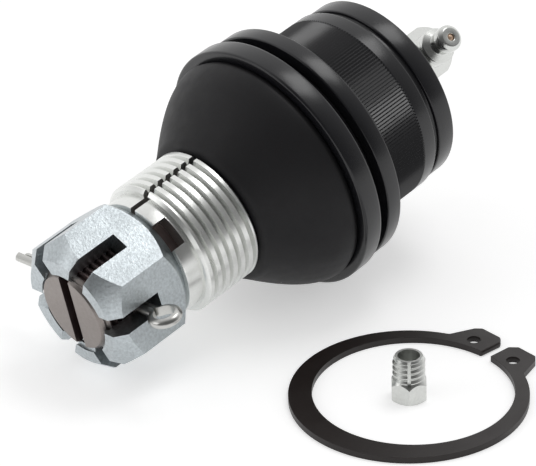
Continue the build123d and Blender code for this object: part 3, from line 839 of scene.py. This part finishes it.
def build_base_ring(sizes):
    """Steel ring that clamps the boot's foot."""
    ease = 0.7 * MM
    bore_r = sizes.ring_r - sizes.ring_wall
    middle = (RING_BACK + RING_FRONT) / 2
    piece = turned("base_ring_band", eased([
        (bore_r, middle),
        (bore_r, RING_BACK),
        (sizes.ring_r, RING_BACK),
        (sizes.ring_r, RING_FRONT),
        (bore_r, RING_FRONT),
        (bore_r, middle),
    ], ease), steps=144)
    shade(piece)
    place(piece, LAY)
    finish_piece(piece, "housing", "paint", "boot_base_ring")


# ---------------------------------------------------------------- boot
def build_boot(sizes):
    """Rubber dome that follows the stud's neck and the housing's foot."""
    ring_gap = 0.3 * MM
    inside_ring_r = sizes.ring_r - sizes.ring_wall - ring_gap
    grip_r = 25.8 * MM
    grip_end = 16 * MM
    crown = BOOT_CROWN
    under_crown = crown - 2 * sizes.wall
    bead_gap = 0.08 * MM
    bead = RING_FRONT + bead_gap
    bead_corner = (sizes.bulge_r - 1.1 * MM, bead)
    bead_round = (sizes.bulge_r - 0.4 * MM, bead + 0.3 * MM)
    widest_point = (sizes.bulge_r, sizes.bulge_station)
    widest_pull = (sizes.bulge_r - 0.6 * MM, sizes.bulge_station + 5.2 * MM)
    crown_pull = (sizes.top_r + 5.2 * MM, crown - 5.6 * MM)
    crown_edge = (sizes.top_r + 1.6 * MM, crown - 1.4 * MM)
    crown_round = (sizes.top_r + 0.9 * MM, crown - 0.4 * MM)
    hollow_r = sizes.bulge_r - sizes.wall
    hollow_top = (sizes.neck_r + sizes.wall, under_crown)
    hollow_top_pull = (sizes.neck_r + 3.2 * sizes.wall, crown - 2.2 * sizes.wall)
    hollow_foot_pull = (hollow_r, sizes.bulge_station + 6 * MM)
    hollow_foot = (hollow_r, sizes.bulge_station - 1 * MM)
    grip_top = SPIGOT_TOP - 0.6 * MM
    profile = [
        (grip_r, grip_end),
        (grip_r, BOOT_BACK),
        (sizes.foot_r, BOOT_BACK),
        (sizes.foot_r, RING_BACK - ring_gap),
        (inside_ring_r, RING_BACK - ring_gap),
        (inside_ring_r, bead),
        bead_corner,
        bead_round,
        *curve_points(widest_point, widest_pull, crown_pull, crown_edge, points=26),
        crown_round,
        (sizes.top_r, crown),
        (sizes.neck_r, crown),
        (sizes.neck_r, under_crown),
        *curve_points(hollow_top, hollow_top_pull, hollow_foot_pull, hollow_foot, points=16),
        (grip_r, grip_top),
        (grip_r, grip_end),
    ]
    piece = turned("boot_rubber", profile, steps=128)
    shade(piece, sharp_angle=50.0)
    place(piece, LAY)
    dress(piece, "rubber", "boot")
    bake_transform(piece)


# ---------------------------------------------------------------- sleeve, stud, nut and pin
def build_sleeve(sizes):
    """Threaded split sleeve with a plain notched collar."""
    thread_end = SLEEVE_FOOT + sizes.thread_l
    ease = 0.8 * MM
    over_r = sizes.crest_r + OVER_CREST
    collar_foot = SLEEVE_FOOT + 0.4 * MM
    collar_ease = 0.3 * MM
    bore_foot_r = 12.74 * MM
    bore_top_r = 11.35 * MM
    notch_r = 10.5 * MM
    piece = thread_rod("split_sleeve", sizes.crest_r, sizes.root_r, sizes.pitch, SLEEVE_FOOT, thread_end,
                       crest=0.5)
    envelope = turned("envelope", [
        (0, SLEEVE_FOOT - OVERCUT),
        (sizes.crest_r - 2 * ease, SLEEVE_FOOT - OVERCUT),
        (sizes.crest_r - ease, SLEEVE_FOOT),
        (over_r, SLEEVE_FOOT + ease),
        (over_r, thread_end - ease),
        (sizes.collar_r, thread_end + OVERCUT),
        (0, thread_end + OVERCUT),
    ])
    trim(piece, envelope)
    collar = turned("collar", eased([
        (0, collar_foot),
        (sizes.collar_r, collar_foot),
        (sizes.collar_r, SLEEVE_TOP),
        (0, SLEEVE_TOP),
    ], collar_ease))
    join(piece, collar)
    bore = turned("bore", [
        (0, SLEEVE_FOOT - OVERCUT),
        (bore_foot_r, SLEEVE_FOOT - OVERCUT),
        (bore_top_r, SLEEVE_TOP + OVERCUT),
        (0, SLEEVE_TOP + OVERCUT),
    ])
    cut(piece, bore)
    half_slit = sizes.slit_w / 2
    slit = block("slit", (0, -half_slit, SLEEVE_FOOT - OVERCUT),
                 (TOOL_REACH, half_slit, SLEEVE_TOP + OVERCUT))
    cut(piece, clocked(slit, sizes.slit_clock))
    half_notch = sizes.notch_w / 2
    for step in range(sizes.notch_count):
        notch = block("notch", (notch_r, -half_notch, SLEEVE_TOP - sizes.notch_depth),
                      (TOOL_REACH, half_notch, SLEEVE_TOP + OVERCUT))
        cut(piece, clocked(notch, sizes.notch_clock + step * FULL_TURN / sizes.notch_count))
    shade(piece, sharp_angle=32.0)
    place(piece, LAY)
    finish_piece(piece, "stud", "sleeve", "adjusting_sleeve")


def build_stud(sizes):
    """Ball, neck, land, taper and threaded tip with its slot."""
    thread_depth = 0.95 * MM
    root_r = sizes.thread_r - thread_depth
    over_r = sizes.thread_r + OVER_CREST
    tip_bevel = 2.2 * MM
    flat = 12.6 * MM
    ball_r = 13.5 * MM
    neck_r = 8.5 * MM
    neck_end = 26 * MM
    land_r = 12.7 * MM
    land_foot = 33 * MM
    taper_end_r = 11.36 * MM
    core_end = NUT_FACE - 0.4 * MM
    relief_end = NUT_FOOT + 0.6 * MM
    thread_foot = NUT_FOOT + 0.2 * MM
    hole_r = 1.95 * MM
    ease = 1.0 * MM
    arc_steps = 24
    flat_angle = math.acos(flat / ball_r)
    neck_angle = math.asin(neck_r / ball_r)
    ball_arc = []
    for step in range(arc_steps + 1):
        around = flat_angle + (math.pi - neck_angle - flat_angle) * step / arc_steps
        ball_arc.append((ball_r * math.sin(around), -ball_r * math.cos(around)))
    shank = eased([
        ball_arc[-1],
        (neck_r, neck_end),
        (land_r, land_foot),
        (land_r, SLEEVE_FOOT),
        (taper_end_r, NUT_FOOT),
        (root_r, relief_end),
        (root_r, core_end),
        (0, core_end),
    ], ease)
    piece = turned("threaded_stud", [(0, -flat)] + ball_arc + shank[1:])
    tip = thread_rod("thread", sizes.thread_r, root_r, sizes.thread_pitch, thread_foot, NUT_FACE)
    trim(tip, turned("tip_form", [
        (0, NUT_FOOT),
        (over_r, NUT_FOOT),
        (over_r, NUT_FACE - tip_bevel),
        (sizes.tip_face_r, NUT_FACE),
        (0, NUT_FACE),
    ]))
    join(piece, tip)
    half_slot = sizes.slot_w / 2
    cut(piece, block("slot", (-TOOL_REACH, -half_slot, NUT_FACE - sizes.slot_depth),
                     (TOOL_REACH, half_slot, NUT_FACE + OVERCUT)))
    hole = rod("cross_hole", hole_r, -TOOL_REACH, TOOL_REACH, steps=32)
    cut(piece, place(hole, pin_place(sizes) @ Matrix.Rotation(math.pi / 2, 4, "Y")))
    shade(piece, sharp_angle=30.0)
    place(piece, LAY)
    finish_piece(piece, "stud", "stud", "ball_stud")


def pin_place(sizes):
    """Place of the cotter pin: its X axis runs out through the eye."""
    clock = sizes.nut_clock + HALF_FACE - 2 * FULL_TURN / HEX_SIDES
    return Matrix.Translation((0, 0, sizes.pin_station)) @ Matrix.Rotation(clock, 4, "Z")


def build_nut(sizes):
    """Castle nut with six slots and chamfered ends."""
    corner_r = over_corners(sizes.nut_af)
    drop = (corner_r - sizes.nut_face_r) * math.tan(sizes.nut_chamfer)
    outside_r = corner_r + OVERCUT
    thread_depth = 0.9 * MM
    core_r = sizes.thread_r - thread_depth
    tap_gap = 0.04 * MM
    tap_root_r = core_r - 0.1 * MM
    edge = 0.4 * MM
    piece = hex_bar("slotted_nut", sizes.nut_af, NUT_FOOT, NUT_FACE, sizes.nut_clock)
    trim(piece, turned("envelope", [
        (0, NUT_FOOT),
        (sizes.nut_face_r, NUT_FOOT),
        (corner_r, NUT_FOOT + drop),
        (outside_r, NUT_FOOT + drop),
        (outside_r, NUT_FACE - drop),
        (corner_r, NUT_FACE - drop),
        (sizes.nut_face_r, NUT_FACE),
        (0, NUT_FACE),
    ], steps=192))
    cut(piece, rod("bore", core_r, NUT_FOOT - OVERCUT, NUT_FACE + OVERCUT, steps=96))
    half_slot = sizes.nut_slot_w / 2
    for face in range(HEX_SIDES // 2):
        slot = block("slot", (-TOOL_REACH, -half_slot, NUT_FACE - sizes.nut_slot_depth),
                     (TOOL_REACH, half_slot, NUT_FACE + OVERCUT))
        cut(piece, clocked(slot, sizes.nut_clock + HALF_FACE + face * FULL_TURN / HEX_SIDES))
    break_edges(piece, edge, segments=3)
    cut(piece, thread_rod("tap", sizes.thread_r + tap_gap, tap_root_r, sizes.thread_pitch,
                          NUT_FOOT - OVERCUT, NUT_FACE + OVERCUT))
    shade(piece, sharp_angle=30.0)
    level_flats(piece)
    place(piece, LAY)
    finish_piece(piece, "stud", "nut", "castle_nut")


def build_pin(sizes):
    """Cotter pin: half-round wire down one leg, round the eye and back up the other."""
    wire_r = sizes.pin_d / 2
    gap = 0.1 * MM
    bend_r = 1.8 * MM
    wire_sides = 20
    bend_steps = 8
    eye_steps = 48
    leg_step = 2.2 * MM
    eye_r = sizes.eye_r - wire_r / 2
    both_r = eye_r + bend_r
    rise = bend_r + gap
    reach = math.sqrt(both_r ** 2 - rise ** 2)
    bend = math.acos(rise / both_r)
    eye_turn = FULL_TURN - 2 * math.asin(rise / both_r)
    leg_end = sizes.eye_centre - reach
    bpy.ops.object.select_all(action="DESELECT")
    bpy.ops.mesh.primitive_circle_add(vertices=wire_sides, radius=wire_r, fill_type="NGON",
                                      location=(-sizes.pin_leg, 0, 0), rotation=(0, math.pi / 2, 0))
    piece = name_piece("split_pin")
    settle_place(piece)
    edit(piece)
    bpy.ops.transform.resize(value=(1, sizes.pin_flatness, 1))
    slice_off(gap, clear_inner=True)
    bpy.ops.mesh.delete(type="ONLY_FACE")
    bpy.ops.mesh.select_all(action="SELECT")
    outwards = {"value": (sizes.pin_leg + leg_end, 0, 0)}
    bpy.ops.mesh.extrude_region_move(TRANSFORM_OT_translate=outwards)
    for steps, turn, centre_x, centre_z in (
            (bend_steps, bend, leg_end, bend_r + gap),
            (eye_steps, -eye_turn, sizes.eye_centre, 0),
            (bend_steps, bend, leg_end, -bend_r - gap)):
        bpy.ops.mesh.spin(steps=steps, angle=turn, center=(centre_x, 0, centre_z), axis=(0, 1, 0))
    back = {"value": (leg_step - sizes.pin_leg - leg_end, 0, 0)}
    bpy.ops.mesh.extrude_region_move(TRANSFORM_OT_translate=back)
    close_ends()
    leave_edit()
    shade(piece, sharp_angle=40.0)
    place(piece, LAY @ pin_place(sizes))
    finish_piece(piece, "stud", "pin", "cotter_pin")


# ---------------------------------------------------------------- grease fitting and cover
ELBOW_CLOCK = math.radians(-49.8)
NIPPLE_STATION = -33.7 * MM
NIPPLE_REACH = 16.2 * MM
NIPPLE_SEAT = NIPPLE_REACH - 8.2 * MM
NIPPLE_PLACE = (Matrix.Rotation(ELBOW_CLOCK, 4, "Z") @ Matrix.Translation((0, 0, NIPPLE_STATION))
                @ Matrix.Rotation(math.pi / 2, 4, "Y"))


def build_elbow(sizes):
    """Hexagonal elbow screwed into the cover, with a round boss for the nipple."""
    flat_r = sizes.elbow_af / 2
    past_corners = 1.01
    over_r = over_corners(sizes.elbow_af) * past_corners
    chamfer = 1.2 * MM
    form_ease = 0.3 * MM
    boss_ease = 0.4 * MM
    edge = 0.3 * MM
    piece = hex_bar("elbow_body", sizes.elbow_af, ELBOW_END, COVER_LOW, ELBOW_CLOCK + HALF_FACE)
    trim(piece, turned("elbow_form", eased([
        (0, ELBOW_END),
        (flat_r, ELBOW_END),
        (over_r, ELBOW_END + chamfer),
        (over_r, COVER_LOW - chamfer),
        (flat_r, COVER_LOW),
        (0, COVER_LOW),
    ], form_ease)))
    boss = turned("boss", eased([
        (0, 0),
        (sizes.boss_r, 0),
        (sizes.boss_r, NIPPLE_SEAT),
        (0, NIPPLE_SEAT),
    ], boss_ease), steps=64)
    join(piece, place(boss, NIPPLE_PLACE))
    break_edges(piece, edge, segments=3)
    shade(piece, sharp_angle=40.0)
    level_flats(piece)
    place(piece, LAY)
    finish_piece(piece, "housing", "fitting", "grease_elbow")


def build_nipple(sizes):
    ease = 0.25 * MM
    lip = NIPPLE_REACH - 0.5 * MM
    head_front = NIPPLE_REACH - 0.9 * MM
    head_back = NIPPLE_REACH - 2.9 * MM
    neck_front = head_back - 1.2 * MM
    neck_back = neck_front - 1.6 * MM
    shoulder_front = neck_back - 1.0 * MM
    stem_end = NIPPLE_SEAT - 2.35 * MM
    piece = turned("nipple_body", eased([
        (sizes.mouth_r, lip),
        (sizes.mouth_r, NIPPLE_REACH),
        (sizes.nose_r, NIPPLE_REACH),
        (sizes.head_r, head_front),
        (sizes.head_r, head_back),
        (sizes.neck_r, neck_front),
        (sizes.neck_r, neck_back),
        (sizes.shoulder_r, shoulder_front),
        (sizes.shoulder_r, NIPPLE_SEAT),
        (sizes.stem_r, NIPPLE_SEAT),
        (sizes.stem_r, stem_end),
        (sizes.bore_r, stem_end),
        (sizes.bore_r, lip),
        (sizes.mouth_r, lip),
    ], ease), steps=64)
    shade(piece, sharp_angle=40.0)
    place(piece, LAY @ NIPPLE_PLACE)
    finish_piece(piece, "housing", "fitting", "grease_nipple")


def build_cover(sizes):
    """Pressed end cover with a dished centre round the elbow's thread."""
    ease = 0.6 * MM
    rim_r = widest("end_cover")
    back = COVER_FACE - sizes.cover_t
    dish = COVER_LOW - back
    dish_floor = COVER_FACE + dish
    piece = turned("cover_plate", eased([
        (sizes.cover_bore_r, dish_floor),
        (sizes.dish_r + dish, dish_floor),
        (sizes.dish_r, COVER_FACE),
        (rim_r, COVER_FACE),
        (rim_r, back),
        (sizes.dish_r - dish / 2, back),
        (sizes.dish_r + dish / 2, COVER_LOW),
        (sizes.cover_bore_r, COVER_LOW),
        (sizes.cover_bore_r, dish_floor),
    ], ease))
    shade(piece, sharp_angle=40.0)
    place(piece, LAY)
    finish_piece(piece, "housing", "paint", "end_cover")


# ---------------------------------------------------------------- loose ring and plug
def round_corners(piece, radius):
    """Rounds the upright corners of a flat piece, as a press leaves them."""
    corner_angle = math.radians(25)
    nearly_all = 0.9
    mesh = piece.data
    turns = {}
    for face in mesh.polygons:
        for key in face.edge_keys:
            turns.setdefault(key, []).append(face.normal.copy())
    select_nothing(piece)
    for edge in mesh.edges:
        start, end = (mesh.vertices[index].co for index in edge.vertices)
        upright = abs(end.z - start.z) > nearly_all * (end - start).length
        normals = turns.get(edge.key, [])
        sharp = len(normals) == 2 and normals[0].angle(normals[1], 0.0) > corner_angle
        edge.select = upright and sharp
    bpy.ops.object.mode_set(mode="EDIT")
    bpy.ops.mesh.select_mode(type="EDGE")
    bpy.ops.mesh.bevel(offset=radius, segments=4, clamp_overlap=True)
    bpy.ops.mesh.select_mode(type="VERT")
    leave_edit()


def build_ring(sizes):
    """Retaining ring: a copy of the CAD node with its edges broken."""
    nearly_flat = math.radians(2.0)
    bpy.ops.object.select_all(action="DESELECT")
    source = frame["nodes"]["retaining_ring"]
    piece = source.copy()
    piece.data = source.data.copy()
    bpy.context.scene.collection.objects.link(piece)
    piece.parent = None
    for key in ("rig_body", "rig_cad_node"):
        if key in piece:
            del piece[key]
    piece.name = "snap_ring"
    piece.data.name = "snap_ring"
    edit(piece)
    bpy.ops.mesh.remove_doubles(threshold=WELD)
    bpy.ops.mesh.dissolve_limited(angle_limit=nearly_flat)
    leave_edit()
    round_corners(piece, sizes.ring_corner_r)
    break_edges(piece, sizes.ring_edge, sharper_than=50.0)
    shade(piece, sharp_angle=40.0)
    level_flats(piece)
    finish_piece(piece, "retaining_ring", "phosphate", "retaining_ring")


def build_plug(sizes):
    """Hollow plug: hexagon with a coned shoulder, threaded shank and a groove down its side."""
    low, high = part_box("grease_plug")
    centre = (low + high) / 2
    height = high.z - low.z
    head_h = 6.0 * MM
    clock = math.radians(-135.0)
    corner_r = over_corners(sizes.plug_af) + ON_SURFACE
    foot_chamfer = 0.5 * MM
    shoulder = 1.9 * MM
    thread_depth = 0.5 * MM
    root_r = sizes.plug_thread_r - thread_depth
    over_r = sizes.plug_thread_r + OVER_CREST
    tip_chamfer = 1.2 * MM
    bore_r = 2.6 * MM
    bore_depth = 5 * MM
    half_groove = 0.4 * MM
    groove_depth = 0.7 * MM
    groove_foot = head_h - 1.2 * MM
    groove_reach = 6 * MM
    shank_foot = head_h - 0.6 * MM
    tip_r = root_r - 0.1 * MM
    piece = hex_bar("hollow_plug", sizes.plug_af, 0, head_h, clock)
    trim(piece, turned("head_form", [
        (0, 0),
        (sizes.plug_af / 2, 0),
        (corner_r, foot_chamfer),
        (corner_r, head_h - shoulder),
        (root_r, head_h),
        (0, head_h),
    ], steps=128))
    shank = thread_rod("shank", sizes.plug_thread_r, root_r, sizes.plug_pitch, shank_foot, height)
    trim(shank, turned("shank_form", [
        (0, head_h - OVERCUT),
        (over_r, head_h - OVERCUT),
        (over_r, height - tip_chamfer),
        (tip_r, height),
        (0, height),
    ]))
    join(piece, shank)
    cut(piece, rod("bore", bore_r, height - bore_depth, height + OVERCUT, steps=48))
    groove = block("groove", (sizes.plug_thread_r - groove_depth, -half_groove, groove_foot),
                   (groove_reach, half_groove, height + OVERCUT))
    cut(piece, clocked(groove, clock))
    shade(piece, sharp_angle=32.0)
    place(piece, Matrix.Translation((centre.x, centre.y, low.z)))
    finish_piece(piece, "grease_plug", "plug", "grease_plug")


# ---------------------------------------------------------------- pieces kept as they are cut
KEPT_PIECES = {
    "bearing_seat": "seat",
    "pressure_seat": "seat",
    "disc_spring": "spring",
    "cover_seal": "seal",
    "boot_neck_ring": "spring",
    "check_ball": "brass",
    "check_spring": "spring",
}


def paint_kept_pieces():
    """Paints the CAD nodes that are shown as they are."""
    for node, paint in KEPT_PIECES.items():
        piece = frame["nodes"][node]
        piece.data.materials.clear()
        piece.data.materials.append(PAINTS[paint])


# ---------------------------------------------------------------- stage
CAMERA_PLACE = Vector((-426.574, -436.867, 300.213)) * MM
CAMERA_LOOK = Vector((0.599681, 0.646016, -0.472278))
CAMERA_UP = Vector((0.345384, 0.32343, 0.880967))
CAMERA_SHIFT = (-0.003829, -0.019822)
CAMERA_CLIP = (0.01, 20.0)
SENSOR_WIDTH = 36.0
FLOOR_SIZE = 6.0
FLOOR_DROP = 0.02 * MM
BOOTH_FADE = (-0.45, 0.55)
WHITE = (1, 1, 1, 1)


def set_camera(settings):
    """Camera for the main view."""
    bpy.ops.object.camera_add(location=CAMERA_PLACE)
    camera = bpy.context.object
    look = CAMERA_LOOK.normalized()
    side = look.cross(CAMERA_UP).normalized()
    up = side.cross(look)
    turn = Matrix((side, up, -look)).transposed().to_4x4()
    camera.matrix_world = Matrix.Translation(CAMERA_PLACE) @ turn
    camera.data.lens = settings.lens
    camera.data.sensor_width = SENSOR_WIDTH
    camera.data.shift_x, camera.data.shift_y = CAMERA_SHIFT
    camera.data.clip_start, camera.data.clip_end = CAMERA_CLIP
    bpy.context.scene.camera = camera


def softbox(name, place_at, aim, width, height, power):
    """Area lamp that faces a point."""
    bpy.ops.object.light_add(type="AREA", location=place_at)
    lamp = bpy.context.object
    lamp.name = name
    lamp.data.shape = "RECTANGLE"
    lamp.data.size = width
    lamp.data.size_y = height
    lamp.data.energy = power
    lamp.rotation_euler = (Vector(aim) - Vector(place_at)).to_track_quat("-Z", "Y").to_euler()


def seen_in_metal(tree, path):
    """One for rays that come off metal or through glass."""
    return worked_out(tree, "MAXIMUM", path["Is Glossy Ray"], path["Is Transmission Ray"])


def floor_paint(settings):
    """White floor that keeps the shadow: seen by the camera it glows a little."""
    material = bpy.data.materials.new("white_floor")
    material.use_nodes = True
    tree = material.node_tree
    tree.nodes.clear()
    path = tree.nodes.new("ShaderNodeLightPath").outputs
    seen = worked_out(tree, "MAXIMUM", path["Is Camera Ray"], seen_in_metal(tree, path))
    strength = worked_out(tree, "MULTIPLY", seen, settings.floor_glow)
    matt = add_node(tree, "ShaderNodeBsdfDiffuse", Color=(*settings.floor, 1.0))
    glow = add_node(tree, "ShaderNodeEmission", Color=WHITE, Strength=strength)
    both = tree.nodes.new("ShaderNodeAddShader")
    feed(tree, both.inputs[0], matt.outputs["BSDF"])
    feed(tree, both.inputs[1], glow.outputs["Emission"])
    add_node(tree, "ShaderNodeOutputMaterial", Surface=both.outputs["Shader"])
    return material


def room_light(settings):
    """Booth, white behind the object and dim behind the camera, that the camera sees as white."""
    world = bpy.data.worlds.new("pale_room")
    bpy.context.scene.world = world
    world.use_nodes = True
    tree = world.node_tree
    sky = tree.nodes["Background"].inputs
    sky["Color"].default_value = WHITE
    path = tree.nodes.new("ShaderNodeLightPath").outputs
    direction = tree.nodes.new("ShaderNodeTexCoord").outputs["Generated"]
    away = facing(tree, direction, Vector((CAMERA_LOOK.x, CAMERA_LOOK.y, 0.0)).normalized())
    dim, bright = BOOTH_FADE
    fade = add_node(tree, "ShaderNodeMapRange", Value=away, From_Min=dim, From_Max=bright,
                    To_Min=settings.booth_front - settings.sky, To_Max=1.0 - settings.sky)
    in_metal = worked_out(tree, "MULTIPLY", seen_in_metal(tree, path), fade.outputs["Result"])
    in_view = worked_out(tree, "MULTIPLY", path["Is Camera Ray"], 1.0 - settings.sky)
    lift = worked_out(tree, "ADD", in_metal, in_view)
    feed(tree, sky["Strength"], worked_out(tree, "ADD", lift, settings.sky))


def build_stage(settings):
    """Bench, room, two softboxes and the camera."""
    bpy.ops.object.select_all(action="DESELECT")
    bpy.ops.mesh.primitive_plane_add(size=FLOOR_SIZE, location=(0, 0, BENCH_LEVEL - FLOOR_DROP))
    floor = name_piece("floor")
    floor.data.materials.append(floor_paint(settings))
    room_light(settings)
    softbox("key", place_at=(0.26, -0.07, 0.76), aim=(0, 0, 0), width=0.34, height=0.3,
            power=settings.key)
    softbox("side", place_at=(-0.7, 0.35, 0.35), aim=(-0.02, 0, 0), width=0.4, height=0.4,
            power=settings.fill)
    set_camera(settings)
    bpy.context.scene.view_settings.view_transform = "Standard"


# ---------------------------------------------------------------- operators and panel
def build_pieces(context, *builders):
    """Runs each builder with its own sizes."""
    for build, group in builders:
        build(getattr(context.scene, group))
    return {"FINISHED"}


class BALLJOINT_OT_finishes(bpy.types.Operator):
    """Mix the finishes"""
    bl_idname = "balljoint.finishes"
    bl_label = "Mix Finishes"

    def execute(self, context):
        mix_finishes()
        paint_kept_pieces()
        return {"FINISHED"}


class BALLJOINT_OT_housing(bpy.types.Operator):
    """Build the housing, its end cover and the boot's base ring"""
    bl_idname = "balljoint.housing"
    bl_label = "Housing"

    def execute(self, context):
        return build_pieces(context, (build_housing, "housing_sizes"), (build_cover, "housing_sizes"),
                            (build_base_ring, "boot_sizes"))


class BALLJOINT_OT_boot(bpy.types.Operator):
    """Build the rubber boot"""
    bl_idname = "balljoint.boot"
    bl_label = "Boot"

    def execute(self, context):
        return build_pieces(context, (build_boot, "boot_sizes"))


class BALLJOINT_OT_sleeve(bpy.types.Operator):
    """Build the adjusting sleeve"""
    bl_idname = "balljoint.sleeve"
    bl_label = "Adjusting Sleeve"

    def execute(self, context):
        return build_pieces(context, (build_sleeve, "sleeve_sizes"))


class BALLJOINT_OT_stud(bpy.types.Operator):
    """Build the stud, castle nut and cotter pin"""
    bl_idname = "balljoint.stud"
    bl_label = "Stud, Nut and Pin"

    def execute(self, context):
        return build_pieces(context, (build_stud, "stud_sizes"), (build_nut, "stud_sizes"),
                            (build_pin, "stud_sizes"))


class BALLJOINT_OT_fitting(bpy.types.Operator):
    """Build the grease elbow and its nipple"""
    bl_idname = "balljoint.fitting"
    bl_label = "Grease Fitting"

    def execute(self, context):
        return build_pieces(context, (build_elbow, "fitting_sizes"), (build_nipple, "fitting_sizes"))


class BALLJOINT_OT_loose(bpy.types.Operator):
    """Build the loose retaining ring and grease plug"""
    bl_idname = "balljoint.loose"
    bl_label = "Ring and Plug"

    def execute(self, context):
        return build_pieces(context, (build_ring, "loose_sizes"), (build_plug, "loose_sizes"))


class BALLJOINT_OT_stage(bpy.types.Operator):
    """Set the bench, the lamps and the camera"""
    bl_idname = "balljoint.stage"
    bl_label = "Stage"

    def execute(self, context):
        return build_pieces(context, (build_stage, "stage_settings"))


OPERATORS = [BALLJOINT_OT_finishes, BALLJOINT_OT_housing, BALLJOINT_OT_boot, BALLJOINT_OT_sleeve,
             BALLJOINT_OT_stud, BALLJOINT_OT_fitting, BALLJOINT_OT_loose, BALLJOINT_OT_stage]


class BALLJOINT_PT_panel(bpy.types.Panel):
    """Lists every step and its sizes"""
    bl_idname = "BALLJOINT_PT_panel"
    bl_label = "Ball Joint"
    bl_space_type = "VIEW_3D"
    bl_region_type = "UI"
    bl_category = "Ball Joint"

    def draw(self, context):
        for operator in OPERATORS:
            self.layout.operator(operator.bl_idname)
        for group, kind in SETTINGS.items():
            sizes = getattr(context.scene, group)
            box = self.layout.box()
            box.label(text=group.replace("_", " ").capitalize())
            for setting in kind.__annotations__:
                box.prop(sizes, setting)


CLASSES = [*SETTINGS.values(), *OPERATORS, BALLJOINT_PT_panel]


def register():
    """Registers every class and puts the settings on the scene."""
    for kind in CLASSES:
        bpy.utils.register_class(kind)
    for group, kind in SETTINGS.items():
        setattr(bpy.types.Scene, group, bpy.props.PointerProperty(type=kind))


def unregister():
    """Takes the settings and classes away again."""
    for group in SETTINGS:
        delattr(bpy.types.Scene, group)
    for kind in reversed(CLASSES):
        bpy.utils.unregister_class(kind)


def main():
    """Builds everything in order."""
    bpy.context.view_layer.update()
    register()
    for operator in OPERATORS:
        family, verb = operator.bl_idname.split(".")
        done = getattr(getattr(bpy.ops, family), verb)()
        if done != {"FINISHED"}:
            raise RuntimeError(f"{operator.bl_label} did not finish")


if __name__ == "__main__":
    main()
